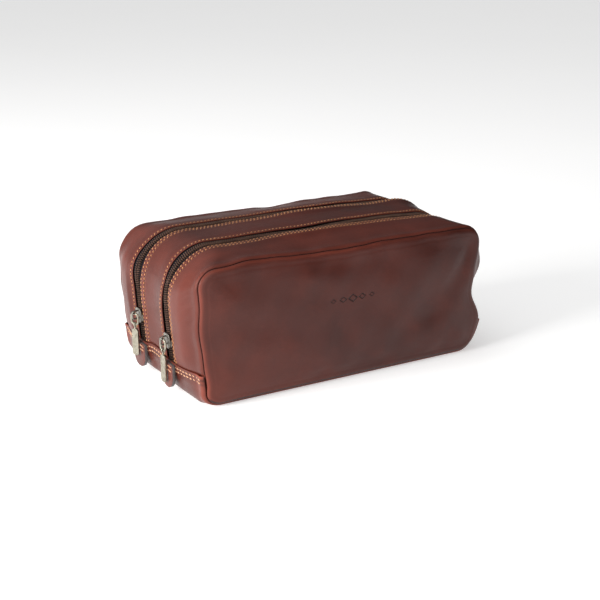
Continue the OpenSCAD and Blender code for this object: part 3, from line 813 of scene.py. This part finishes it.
def panel_mesh(name, p, material, sign, attrs):
    n = p.shape[1]
    faces = grid_faces(len(p), n, close_v=True)
    v = p.reshape(-1, 3)
    half = len(faces) // 2
    out_y = (face_normals(v, faces[half - 50:half + 50])[:, 1] * sign).sum()
    faces = kept_or_turned(faces, out_y > 0)
    middle = across_middle((len(p) - 1) * n, len(PANEL_T), p[-1])
    faces += kept_or_turned(middle, (face_normals(v, middle)[:, 1] * sign).sum() > 0)
    uv = np.stack([p[..., 0], p[..., 2]], -1) / 10
    return make(name, p, faces, material, attrs, uv)


RIM = rounded([(3.1, -3.2), (1.75, -1.9), (0.8, -0.85), (0.32, 0.05), (0.42, 0.85), (1.0, 1.55), (2.2, 2.1),
               (3.8, 2.5), (5.8, float(crown(5.8))), (7.2, float(crown(7.2)))], 2)


def slack(rest, insets, sign):
    """How unevenly a filled wall stands out: soft rolls, and a long shallow hollow towards the right
    end, which is weaker at the back."""
    x, z = rest[..., 0], rest[..., 2]
    hollow = 3.0 * np.exp(-((((x - 84) - 0.9 * (z - 55)) / 20) ** 2)) * smooth(z, 18, 42)
    swell = 0.9 * wave(rest, 74, 71 + sign) + 0.25 * wave(rest, 27, 75 + sign)
    inner = smooth(insets, 2, 16)[:, None]
    return sign * inner * (swell * 0.8 - (hollow if sign < 0 else 0.4 * hollow))


def panel(side, sign, material):
    p, insets = panel_points(RIM, crown, sign)
    rest = p.copy()
    p = warp(p)
    x, z = rest[..., 0], rest[..., 2]
    p[..., 1] += slack(rest, insets, sign)
    limit = HALF_D + PANEL_CROWN + 1.5
    p[..., 1] = np.clip(p[..., 1], -limit, limit)
    depths = np.concatenate([RIM[:, 1], np.full(len(insets) - len(RIM), 9.0)])
    # painted shade where the rim turns down into the seam groove
    deep = smooth(-depths, -0.9, 0.4)[:, None] + 0 * x
    # painted shade in the crease at its foot, and more painted shade darkening it towards the upper right
    deep = np.maximum(deep, 0.9 * smooth(-insets, -2.4, -1.2)[:, None] * smooth(-z, -8, -3))
    deep = deep + 0.24 * smooth(x, 0, 100) * smooth(z, 15, 85) * (1 - deep)
    wear = (0.55 * np.exp(-((insets - 1.2) / 1.0) ** 2))[:, None] * (1 - 0.5 * smooth(x, 0, 100))
    wear *= 0.75 + 0.25 * wave(rest, 30, 81)
    # painted light: a redder, lighter tone along the rim and over the lower left, the side the key lamp
    # lights
    glow = 0.30 * np.exp(-insets / 9)[:, None] * (1 - 0.7 * smooth(x, -20, 90))
    glow = glow + 0.45 * smooth(-x, 20, 125) * smooth(-z, -62, -6)
    glow = np.clip(glow * (0.8 + 0.2 * wave(rest, 60, 83)), 0, 1)
    obj = panel_mesh(f"{side}_panel_leather", p, material, sign,
                     attrs={"wear": np.clip(wear, 0, 1) * (1 - deep), "deep": deep, "glow": glow})
    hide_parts(f"{side}_panel", f"{side}_panel_foot")
    blended(obj)


panel("front", -1, FRONT_LEATHER)
panel("back", 1, BACK_LEATHER)


# ---------------------------------------------------------------- stitching
def stitch_template(length=1.75, radius=0.34, slant=0.24, height=0.34, sides=6):
    a = np.linspace(-0.5, 0.5, 7)
    path = np.stack([a * length, a * length * slant, height - 1.05 * np.abs(2 * a) ** 2.6], 1)
    r = radius * np.array([0.55, 0.85, 1.0, 1.06, 1.0, 0.85, 0.55])
    return tube(path, r, sides, squash_up=0.85).reshape(-1, 3), tube_faces(7, sides)


STITCH, STITCH_FACES = stitch_template()
BIG_STITCH, _ = stitch_template(2.8, 0.46, -0.42, 0.40)


def stitch_row(fr, pitch=3.1, end=1.0, seed=0, template=STITCH):
    """Stitches along a run, from one end margin to the other, each a little out of line."""
    length = arc_length(fr[0])[-1]
    count = int((length - end - end) / pitch)
    at = end + pitch * (np.arange(count) + 0.5)
    v = place(template, fr, at) + np.random.default_rng(seed).normal(0, 0.07, (count, 1, 3))
    return v.reshape(-1, 3), repeat_faces(STITCH_FACES, len(template), count)


def join(parts):
    verts, faces, start = [], [], 0
    for v, f in parts:
        verts.append(v)
        faces += [[k + start for k in q] for q in f]
        start += len(v)
    return np.concatenate(verts), faces


def stitching(name, rows, material, seed):
    """Rows of stitches along the strips. Those nearest a zip lie deeper in their groove."""
    insets = [0.20 + 0.14 * (abs(abs(y) - ZIP_Y) < ROW_2 - 0.5) for y in rows]
    verts, faces = join([stitch_row(frames(y, o), seed=seed + k)
                         for k, (y, o) in enumerate(zip(rows, insets))])
    obj = make(name, verts, faces, material)
    return obj


blended(stitching("front_strip_stitching", [-ZIP_Y - ROW_1, -ZIP_Y - ROW_2], ORANGE, 100))
blended(stitching("back_strip_stitching", [ZIP_Y + ROW_1], ORANGE, 110))
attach(stitching("middle_strip_stitching", MIDDLE_ROWS, ORANGE, 120), "bag")


def end_frames(side, z, y0, y1, out=0.35):
    """Frames along Y on an end wall at height z."""
    y = np.linspace(y0, y1, 400)
    half, _, _, r = section(y)
    low = np.maximum(r - z, 0)
    x = half - lean(z) - (r - np.sqrt(np.maximum(r * r - low * low, 0)))
    dist, rise = zip(*BASE_ROLL)
    # the rows run on over the seam's roll
    out = out + np.interp(HALF_D - np.abs(y), dist, rise, right=0.0)
    p = np.stack([side * (x + out), y, np.full(len(y), z)], 1)
    q = np.stack([side * (x + out + 0.5), y, np.full(len(y), z)], 1)
    p, q = warp(p), warp(q)
    return finish_frames(p, q - p)


BASE_PITCH = 3.9   # the pale stitches of the base seam stand further apart
base_rows = [stitch_row(end_frames(side, z, -HALF_D + 1.4, HALF_D - 1.4), BASE_PITCH,
                        seed=130 + k + 2 * (side > 0), template=BIG_STITCH)
             for side in (-1, 1) for k, z in enumerate(BASE_ROWS)]
verts, faces = join(base_rows)
obj = make("base_seam_stitching", verts, faces, PEACH)
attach(obj, "bag")


# ---------------------------------------------------------------- zips
TAPE_O = box_mm("middle_strip")[1][2] - box_mm("front_zip_rear_tape")[1][2]
LIFT = 0.8   # the zips come up this much nearer the leather's face away from the sliders
COIL_H = box_mm("front_zip_rear_coil")[1][2] - box_mm("front_zip_rear_tape")[1][2]


def coil_template(sides=6):
    path = rounded([(0, 2.4, -1.9), (0, 2.35, -0.9), (0, 2.05, -0.30), (0, 1.4, -0.10), (0, 1.0, -0.30),
                    (0, 0.75, -0.9), (0, 0.7, -1.8)], 1)
    return tube(path, 0.46, sides, up=(1, 0, 0)).reshape(-1, 3), tube_faces(len(path), sides)


RIB, RIB_FACES = coil_template()
PITCH = 1.75


def coil(name, zip_y, side):
    fr = frames(zip_y, TAPE_O - COIL_H + 0.3, LIFT)
    length = arc_length(fr[0])[-1]
    at = np.arange(0.5, length - 0.5, PITCH) + (PITCH / 2 if side > 0 else 0)
    rib = RIB * np.array([1, side, 1])
    rib[:, 0] += 0.12 * (np.abs(RIB[:, 1]) - 1.6)
    v = place(rib, fr, at)
    faces = kept_or_turned(RIB_FACES, side > 0)
    obj = make(name, v.reshape(-1, 3), repeat_faces(faces, len(RIB), len(at)), COIL)
    return obj


def there_and_back(profile, thick=0.5):
    """A closed profile: out along a run of (y, inset) points and back along its inner face."""
    run = list(profile)
    return np.array(run + [(y, o + thick) for y, o in run[::-1]] + run[:1])


def tape(name, zip_y, side):
    across = [(0.35, TAPE_O + 0.05)] + [(d, TAPE_O) for d in (1.5, 2.9, 3.6, 4.2, 4.8, 5.5, 6.3, 7.5, 10.4)]
    prof = there_and_back([(zip_y + side * d, o) for d, o in across], 0.55)
    # between the coil and the leather's edge the tape bellies up
    lift = LIFT + 0.85 * bump(np.abs(prof[:-1, 0] - zip_y), 4.6, 1.0)
    obj = sheet_over(name, prof, TAPE, lift=lift[None, :])
    return obj


for zip_name, zip_y in (("front_zip", -ZIP_Y), ("rear_zip", ZIP_Y)):
    for half_name, side in (("front", -1), ("rear", 1)):
        t = tape(f"{zip_name}_{half_name}_tape_cloth", zip_y, side)
        c = coil(f"{zip_name}_{half_name}_coil_ribs", zip_y, side)
        outer = (zip_y < 0) == (side < 0)
        if outer:
            leaf = "front_leaf" if zip_y < 0 else "rear_leaf"
            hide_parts(f"{zip_name}_{half_name}_tape", f"{zip_name}_tape_feet")
            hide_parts(f"{zip_name}_{half_name}_coil", f"{zip_name}_coil_feet")
            blended(t)
            blended(c)
        else:
            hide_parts(f"{zip_name}_{half_name}_tape")
            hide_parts(f"{zip_name}_{half_name}_coil")
            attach(t, "bag")
            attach(c, "bag")


# ---------------------------------------------------------------- linings, divider and bindings
def two_faced(name, one, other, over_count):
    """A closed sheet from two grids of rings that share their outer ring's shape, rim to middle."""
    both = np.concatenate([one[::-1], other])
    n = both.shape[1]
    faces = grid_faces(len(both), n, close_v=True)
    v = both.reshape(-1, 3)
    faces = kept_or_turned(faces, volume(v, faces) > 0)
    for k, far in ((0, -1), (len(both) - 1, 0)):
        out = both[k][:, 1].mean() - both[far][:, 1].mean()
        cap = across_middle(k * n, over_count, both[k])
        faces += kept_or_turned(cap, face_normals(v, cap)[:, 1].sum() * out > 0)
    uv = np.stack([both[..., 0], both[..., 2]], -1) / 10
    return make(name, both, faces, LINING, None, uv)


LINE_O = TAPE_O + 0.75


def cross_run(y0, y1, o, steps, seed, wrinkle):
    """A run of (y, inset) points across the bag, slightly wrinkled."""
    rng = np.random.default_rng(seed)
    y = np.linspace(y0, y1, steps)
    return [(v, o + wrinkle * (0.5 + 0.5 * math.sin(k * 1.9 + rng.uniform(0, 1)))) for k, v in enumerate(y)]


def band_over(profile, run):
    """Points and faces of a closed band along a run, without its own object."""
    prof = np.asarray(profile, float)[:-1]
    ts = RUN_T if run is over else RUN_U
    p = warp(run(ts[:, None], prof[:, 0][None, :], prof[:, 1][None, :]))
    n = len(prof)
    faces = grid_faces(len(ts), n, close_v=True)
    faces += band_caps(len(ts), n)
    v = p.reshape(-1, 3)
    return v, kept_or_turned(faces, volume(v, faces) >= 0)


def binding_profile(sign):
    """Across a seam binding: a flat band with soft corners."""
    y0, y1, o = sign * (HALF_D - 4.4), sign * (HALF_D - 12), LINE_O + 0.75
    near, far = 0.8 * y0 + 0.2 * y1, 0.2 * y0 + 0.8 * y1
    return rounded([(y0, o + 0.2), (near, o), (far, o), (y1, o + 0.2), (y1, o + 1.0), (far, o + 1.25),
                    (near, o + 1.25), (y0, o + 1.0), (y0, o + 0.2)], 1)


for side, sign, leaf, _ in SIDES:
    across = cross_run(sign * (HALF_D - 3.4), sign * (ZIP_Y + 11.5), LINE_O, 12, 210 + sign, 0.3)
    strip = sheet_over(f"{side}_strip_lining_cloth", there_and_back(across), LINING)
    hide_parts(f"{side}_strip_lining")
    blended(strip)
    rim = [(LINE_O + 0.7, 0.0), (LINE_O + 1.4, 0.55)]
    rest, insets = panel_points(rim, lambda i: crown(i) - LEATHER_T - 0.7, sign, rings=24)
    wrinkles = 0.35 * wave(rest, 26, 220 + sign) + 0.2 * wave(rest, 11, 224 + sign)
    ease = smooth(insets, 4, 10)[:, None]
    outer = warp(rest)
    outer[..., 1] += slack(rest, insets, sign)
    outer[..., 1] -= sign * (0.35 + wrinkles) * ease
    inner = outer.copy()
    inner[..., 1] -= sign * 0.5
    obj = two_faced(f"{side}_wall_lining_cloth", outer, inner, len(PANEL_T))
    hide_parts(f"{side}_panel_lining", f"{side}_lining_foot")
    blended(obj)
    # the bound seam edge
    obj = sheet_over(f"{side}_seam_binding_cloth", binding_profile(sign), BINDING)
    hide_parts(f"{side}_seam_binding")
    blended(obj)

# the base's bindings, both in one piece
verts, faces = join([band_over(binding_profile(sign), under) for sign in (-1, 1)])
obj = make("base_seam_binding_cloth", verts, faces, BINDING, None, verts[:, :2] / 10)
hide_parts("base_seam_bindings")
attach(obj, "bag")

runs = [cross_run(sign * 1.4, sign * (ZIP_Y - 7.5), LINE_O, 8, 230 + sign, 0.25) for sign in (-1, 1)]
verts, faces = join([band_over(there_and_back(run), over) for run in runs])
obj = make("middle_lining_cloth", verts, faces, LINING, None, verts[:, [0, 1]] / 10)
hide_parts("middle_strip_lining")
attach(obj, "bag")

board_top = box_mm("base_board")[1][2]
across = cross_run(-HALF_D + 4.2, HALF_D - 4.2, board_top + 0.15, 46, 240, 0.3)
obj = sheet_over("base_lining_cloth", there_and_back(across), LINING, run=under)
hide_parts("base_lining")
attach(obj, "bag")


def divider():
    """A thin stiffened wall between the compartments, lined on both sides and sewn round its edge."""
    t = spread(26, 30, 84, LEG_T, ARC_T)
    u = spread(4, 12, 84, LEG_U, ARC_U)[1:-1]

    def ring(extra):
        return np.concatenate([over(t, 0, LINE_O + 0.75 + extra), under(u, 0, board_top + 0.85 + extra)])

    rim = rounded([(0.0, 0.0), (0.05, 0.7), (0.8, 1.05), (2.6, 1.0), (3.3, 0.72), (4.0, 1.0), (6.0, 1.08)], 1)
    rows = []
    for inset, depth in rim:
        p = ring(inset)
        p[:, 1] = depth
        rows.append(p)
    base = ring(6.0)
    target, _ = middle_line(base)
    for f in np.linspace(0.05, LAST_RING, 20):
        p = base + (target - base) * f
        p[:, 1] = 1.08
        rows.append(p)
    one = np.array(rows)
    one[..., 1] += 0.10 * wave(one, 30, 250) * smooth(np.arange(len(one)), 4, 9)[:, None]
    other = one.copy()
    other[..., 1] = -one[..., 1]
    obj = two_faced("divider_padded", warp(one), warp(other[1:]), len(t))
    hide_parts("divider_board", "divider_front_lining", "divider_rear_lining")
    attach(obj, "bag")


divider()


# ---------------------------------------------------------------- slabs: tabs, plates and bars
def offset(outline, d):
    """A convex outline moved in by d."""
    p = np.asarray(outline, float)
    a = p - np.roll(p, 1, 0)
    b = np.roll(p, -1, 0) - p
    na = np.stack([a[:, 1], -a[:, 0]], 1) / np.linalg.norm(a, axis=1, keepdims=True)
    nb = np.stack([b[:, 1], -b[:, 0]], 1) / np.linalg.norm(b, axis=1, keepdims=True)
    n = na + nb
    n /= np.maximum((n * na).sum(1, keepdims=True), 0.35)
    area = 0.5 * (p[:, 0] * np.roll(p[:, 1], -1) - np.roll(p[:, 0], -1) * p[:, 1]).sum()
    return p - n * d * np.sign(area)


def slab(outline, low, high, bevel, steps=4, axis=0, dish=0.0):
    """A flat piece with rounded edges: the outline in two axes, from low to high along the third."""
    a = np.linspace(0, math.pi / 2, steps)
    levels = [(bevel * (1 - math.sin(v)), low + bevel * (1 - math.cos(v))) for v in a]
    levels += [(bevel * (1 - math.sin(v)), high - bevel * (1 - math.cos(v))) for v in a[::-1]]
    if dish:
        levels = [(bevel + 0.9, low + dish), (bevel + 0.35, low + dish * 0.7)] + levels
    p = np.array([np.insert(offset(outline, inset), axis, h, axis=1) for inset, h in levels])
    n = p.shape[1]
    faces = grid_faces(len(p), n, close_v=True)
    last = len(p) - 1
    faces += [list(range(n)), [last * n + k for k in range(n)][::-1]]
    v = p.reshape(-1, 3)
    sample = faces[len(faces) // 2]
    away = (face_normals(v, [sample])[0] * (v[sample[0]] - v.mean(0))).sum()
    return v, kept_or_turned(faces, away >= 0)


def ring_of(points, per_corner=6, radius=1.0):
    """A convex polygon with its corners rounded."""
    p = np.asarray(points, float)
    out = []
    for k in range(len(p)):
        a, b, c = p[k - 1], p[k], p[(k + 1) % len(p)]
        u, w = (a - b) / np.linalg.norm(a - b), (c - b) / np.linalg.norm(c - b)
        r = min(radius, 0.45 * np.linalg.norm(a - b), 0.45 * np.linalg.norm(c - b))
        for s in np.linspace(0, 1, per_corner):
            out.append((1 - s) ** 2 * (b + u * r) + 2 * s * (1 - s) * b + s * s * (b + w * r))
    return np.array(out)


def turned(v, angle_y=0.0, angle_z=0.0, at=(0, 0, 0)):
    v = np.asarray(v, float)
    if angle_y:
        c, s = math.cos(angle_y), math.sin(angle_y)
        v = v @ np.array([[c, 0, s], [0, 1, 0], [-s, 0, c]]).T
    if angle_z:
        c, s = math.cos(angle_z), math.sin(angle_z)
        v = v @ np.array([[c, -s, 0], [s, c, 0], [0, 0, 1]]).T
    return v + np.array(at, float)


# ---------------------------------------------------------------- leather tabs at the zips' ends
def end_tab(name, zip_y, side, node, seed):
    """Two layers of leather, cut round, with dyed edges; the base seam's two stitch rows cross its top."""
    low, high = box_mm(node)
    top, width = high[2] - 0.1, high[1] - low[1]
    r = width / 2
    drop = high[2] - low[2] - 0.6
    a = np.linspace(0, math.pi, 25)
    round_end = [(r * math.cos(v), -(drop - r) - r * math.sin(v)) for v in a]
    outline_yz = np.array([(-r + 0.8, 0.0), (-r, -0.8)] + [(-y, z) for y, z in round_end]
                          + [(r, -0.8), (r - 0.8, 0.0)])
    thick = 2.8

    def curl(down, y):
        """How far the tab curves off the wall, at a share of its drop."""
        return 0.9 * down ** 2 * (1 - 0.25 * down) + 0.25 * np.sin(y / 4 + seed) * down

    v, faces = slab(outline_yz, -thick, 0.0, 0.45, steps=4)
    v[:, 0] -= curl(-v[:, 2] / drop, v[:, 1])
    wall_x = -(HALF_L - lean(top)) - 0.1 - 0.35
    tilt = -LEG_ANGLE / 2
    v = turned(v, angle_y=tilt, at=(wall_x, 0, top))
    v[:, 1] += zip_y
    v[:, 0] *= -side
    faces = kept_or_turned(faces, side < 0)
    # the layers show in the cut edge
    obj = make(name, v, faces, [TAB_LEATHER, CUT_EDGE], {"wear": 0.2 + 0 * v[:, 0], "deep": 0 * v[:, 0]})
    for poly in obj.data.polygons:
        if abs(poly.normal.x) < 0.55:
            poly.material_index = 1
    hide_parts(node)
    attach(obj, "bag")
    # the base's stitch rows run on over the tab
    rows = []
    for k, z in enumerate(BASE_ROWS):
        y = np.linspace(-r + 0.9, r - 0.9, 40)
        d = (top - z) / drop
        out = -thick - 0.02 - curl(d, y)
        out = out + 0.45 * np.exp(-(y / 4.6) ** 4)  # pressed in where the pull hangs over them
        p = np.stack([out, y, np.full(40, z - top)], 1)
        p, q = (turned(v, angle_y=tilt, at=(wall_x, zip_y, top)) * np.array([-side, 1, 1])
                for v in (p, p - np.array([0.5, 0, 0])))
        rows.append(stitch_row(finish_frames(p, q - p), BASE_PITCH, 0.2, seed + 20 + k, BIG_STITCH))
    verts, faces = join(rows)
    obj = make(name + "_stitching", verts, faces, PEACH)
    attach(obj, "bag")


for n, (zip_name, zip_y) in enumerate((("front", -ZIP_Y), ("rear", ZIP_Y))):
    end_tab(f"{zip_name}_left_end_tab_leather", zip_y, -1, f"{zip_name}_left_end_tab", 300 + n)
    end_tab(f"{zip_name}_right_end_tab_leather", zip_y, 1, f"{zip_name}_right_end_tab", 310 + n)


# ---------------------------------------------------------------- sliders and pulls
CLEAR, PLATE = 0.4, 1.2
TOP_IN = TAPE_O - COIL_H - CLEAR
TOP_OUT = TOP_IN - PLATE
LOW_IN = TAPE_O + 0.7 + CLEAR


def on_wall(v, zip_name):
    """From a slider's own axes (out of the wall, across, up) to its place on the left end."""
    z = SLIDER_Z[zip_name]
    wall_x = -(HALF_L - LEAN * (1 - z / LEAN_TOP))
    return turned(v, angle_y=-LEG_ANGLE, at=(wall_x, -ZIP_Y if zip_name == "front" else ZIP_Y, z))


def plate_outline(width=10.0, length=12.0):
    """A slider's plate: round at its lower end, with two chamfers at its upper one."""
    w, top = width / 2, length / 2
    a = np.linspace(math.pi, 2 * math.pi, 17)
    low = [(w * math.cos(v), -top + w + w * math.sin(v)) for v in a]
    right = [(w, top * 0.2), (w * 0.97, top - 2.6), (w * 0.86, top - 1.2),
             (w * 0.62, top - 0.25), (w * 0.4, top)]
    return np.array(low + right + [(-x, z) for x, z in right[::-1]])


def joint_place(name):
    for j in frame["joints"]:
        if j["name"] == name:
            return np.array(j["pos_m"], float) / MM
    raise KeyError(name)


def slider(zip_name):
    """The slider's two plates, the walls between them and the post."""
    parts = [slab(plate_outline(), TOP_OUT, TOP_IN, 0.42, 5),
             slab(plate_outline(9.8, 11.8), LOW_IN, LOW_IN + PLATE, 0.3)]
    for s in (-1, 1):   # side walls that hold the coils
        w = [(s * 4.2, -3.9), (s * 4.92, -3.9), (s * 4.95, 1.0), (s * 4.2, 1.0)]
        parts.append(slab(ring_of(w if s > 0 else w[::-1], 3, 0.3), TOP_IN - 0.15, TAPE_O - CLEAR, 0.12, 2))
    post = ring_of([(-0.2, -5.3), (0.2, -5.3), (0.2, -3.2), (-0.2, -3.2)], 3, 0.15)
    parts.append(slab(post, TOP_IN - 0.1, LOW_IN + 0.1, 0.05, 2))
    verts, faces = join(parts)
    obj = make(f"{zip_name}_slider_metal", on_wall(verts, zip_name), faces, SLIDER_METAL)
    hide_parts(f"{zip_name}_slider_body")
    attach(obj, f"{zip_name}_slider")


def flat_bar(path, sides, half_thick, half_wide):
    """A bar of oval section bent along a path that has no Y in it."""
    rel = tube(path, 1.0, sides, up=(0, 1, 0)) - path[:, None]
    v = path[:, None] + rel * np.array([half_thick, half_wide, half_thick])
    return v.reshape(-1, 3), tube_faces(len(path), sides)


def bridge(zip_name):
    """A flat loop over the slider's plate."""
    rise, reach, up = 4.4 + 0.55, 7.3 / 2 - 0.55, 0.75
    path = rounded([(TOP_OUT + 0.3, up - reach), (TOP_OUT - rise * 0.6, up - reach),
                    (TOP_OUT - rise, up - reach + 0.5), (TOP_OUT - rise, up),
                    (TOP_OUT - rise, up + reach - 0.5), (TOP_OUT - rise * 0.6, up + reach),
                    (TOP_OUT + 0.3, up + reach)], 2)
    path = np.stack([path[:, 0], 0 * path[:, 0], path[:, 1]], 1)
    verts, faces = flat_bar(path, 12, 0.55, 1.2)
    obj = make(f"{zip_name}_bridge_metal", on_wall(verts, zip_name), faces, SLIDER_METAL)
    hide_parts(f"{zip_name}_slider_bridge")
    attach(obj, f"{zip_name}_slider")


RING_DROP = 8.4   # from the ring's pivot to the middle of its wire at the bottom


def pull_ring(zip_name, pivot, turn):
    """An oval of round wire."""
    wire, half_w, drop = 0.9, 3.5, RING_DROP
    a = np.linspace(0, 2 * math.pi, 56, endpoint=False)
    e = 2 / 2.7
    yy = half_w * np.sign(np.cos(a)) * np.abs(np.cos(a)) ** e
    zz = drop / 2 * np.sign(np.sin(a)) * np.abs(np.sin(a)) ** e - drop / 2
    path = np.stack([0 * a, yy, zz], 1)
    v = turned(tube(path, wire, 14, up=(1, 0, 0), closed=True).reshape(-1, 3), angle_z=turn, at=pivot)
    obj = make(f"{zip_name}_ring_metal", v, grid_faces(56, 14, close_u=True, close_v=True), METAL)
    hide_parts(f"{zip_name}_pull_ring")
    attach(obj, f"{zip_name}_ring")


def pull_bar(zip_name, pivot, turn):
    """A flat bar with a folded eye round the ring."""
    eye, width, length, thick, neck = 1.05, 6.2, 21.5, 1.8, 1.8
    top = -eye - 0.75 - neck
    low = top - length
    w = width / 2
    bar = ring_of([(-w, low + 1.3), (-w + 1.3, low), (w - 1.3, low), (w, low + 1.3),
                   (w, top - 1.3), (w - 1.5, top), (-w + 1.5, top), (-w, top - 1.3)], 4, 0.8)
    parts = [slab(bar, -thick / 2, thick / 2, 0.42, 4, dish=0.25)]
    a = np.radians(np.linspace(-62, 242, 26))
    loop = np.stack([1.42 * np.cos(a), 0 * a, 1.42 * np.sin(a)], 1)
    ends_low = np.array([[0.42, 0, top + 0.5], [-0.42, 0, top + 0.5]])
    tail = [0, 0, 1.2]
    loop = np.concatenate([[ends_low[0] - tail, ends_low[0]], loop, [ends_low[1], ends_low[1] - tail]])
    parts.append(flat_bar(loop, 10, 0.36, 0.85))
    verts, faces = join(parts)
    verts = verts + np.array([0, 0, -RING_DROP])
    obj = make(f"{zip_name}_pull_metal", turned(verts, angle_z=turn, at=pivot), faces, METAL)
    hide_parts(f"{zip_name}_pull_tab")
    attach(obj, f"{zip_name}_tab")


for zip_name, turn_deg in (("front", 6), ("rear", 24)):
    slider(zip_name)
    bridge(zip_name)
    pivot, turn = joint_place(f"{zip_name}_ring_swing"), math.radians(turn_deg)
    pull_ring(zip_name, pivot, turn)
    pull_bar(zip_name, pivot, turn)

# the base board is kept as CAD made it, with a material of its own
for slot in frame["nodes"]["base_board"].material_slots:
    slot.material = BOARD


# ---------------------------------------------------------------- floor, light and camera
FLOOR_HALF = 25.0   # metres; so that the floor's edge lies near the horizon in low views


def floor():
    n = Net("floor_paper")
    at = n.coords("Object")
    tone = n.noise(at, 3.0, 3.0)
    n.set(Base_Color=n.mix(tone, (0.84, 0.84, 0.84, 1), (0.87, 0.87, 0.87, 1)), Roughness=0.9,
          Specular_IOR_Level=0.1, Emission_Color=(1.0, 1.0, 1.0, 1), Emission_Strength=0.42)
    size = FLOOR_HALF
    mesh = bpy.data.meshes.new("floor")
    corners = [(-size, -size, 0), (size, -size, 0), (size, size, 0), (-size, size, 0)]
    mesh.from_pydata(corners, [], [(0, 1, 2, 3)])
    mesh.materials.append(n.m)
    obj = bpy.data.objects.new("floor", mesh)
    bpy.context.scene.collection.objects.link(obj)


def area_light(name, place_at, target, size, power, colour=(1, 1, 1)):
    data = bpy.data.lights.new(name, "AREA")
    data.shape = "RECTANGLE"
    data.size, data.size_y = size
    data.energy = power
    data.color = colour
    obj = bpy.data.objects.new(name, data)
    obj.location = place_at
    obj.rotation_euler = (Vector(target) - Vector(place_at)).to_track_quat("-Z", "Y").to_euler()
    bpy.context.scene.collection.objects.link(obj)
    return obj


floor()
# The key is two lamps of one size: a strong one that gives no reflection, and a weaker, higher one that
# gives the gloss. Seen from the right end, the top of the bag still glares.
KEY_TARGET, KEY_SIZE, KEY_COLOUR = (-0.1, 0, 0.05), (0.8, 0.55), (1.0, 0.99, 0.97)
key = area_light("key_left", (-1.6, -0.1, 0.42), KEY_TARGET, KEY_SIZE, 31.5, KEY_COLOUR)
key.visible_glossy = False
area_light("key_gloss", (-1.55, -0.1, 0.62), KEY_TARGET, KEY_SIZE, 13, KEY_COLOUR)
area_light("top_soft", (-0.3, 0.35, 1.5), (0, 0, 0.05), (1.2, 1.0), 4.5)
area_light("front_fill", (-0.5, -1.6, 0.6), (0.0, 0, 0.05), (1.0, 0.8), 7)


def studio_world():
    """A pale room, brighter on the bag's left and dim on its right and above."""
    world = bpy.data.worlds.new("studio")
    world.use_nodes = True
    nt = world.node_tree
    back = nt.nodes["Background"]
    back.inputs[0].default_value = (1.0, 1.0, 1.0, 1)
    coord = nt.nodes.new("ShaderNodeTexCoord")
    axes = nt.nodes.new("ShaderNodeSeparateXYZ")
    across = nt.nodes.new("ShaderNodeMapRange")
    for k, v in (("From Min", -1.0), ("From Max", 0.8), ("To Min", 0.80), ("To Max", 0.02)):
        across.inputs[k].default_value = v
    nt.links.new(coord.outputs["Generated"], axes.inputs[0])
    nt.links.new(axes.outputs["X"], across.inputs["Value"])
    nt.links.new(across.outputs[0], back.inputs[1])
    bpy.context.scene.world = world


studio_world()
bpy.context.scene.view_settings.view_transform = "Standard"


def camera():
    """The photograph's view, from a fit of the outline, seams and zips."""
    az, el, dist = math.radians(-30.54), math.radians(18.37), 0.9833
    target = Vector((-0.00109, 0, 0.04306))
    back = Vector((math.sin(az) * math.cos(el), -math.cos(az) * math.cos(el), math.sin(el)))
    data = bpy.data.cameras.new("camera")
    data.sensor_width = 36
    data.lens = 73.944   # from the same fit
    data.clip_start = 0.01
    obj = bpy.data.objects.new("camera", data)
    obj.location = target + back * dist
    obj.rotation_euler = (-back).to_track_quat("-Z", "Y").to_euler()
    bpy.context.scene.collection.objects.link(obj)
    bpy.context.scene.camera = obj


camera()
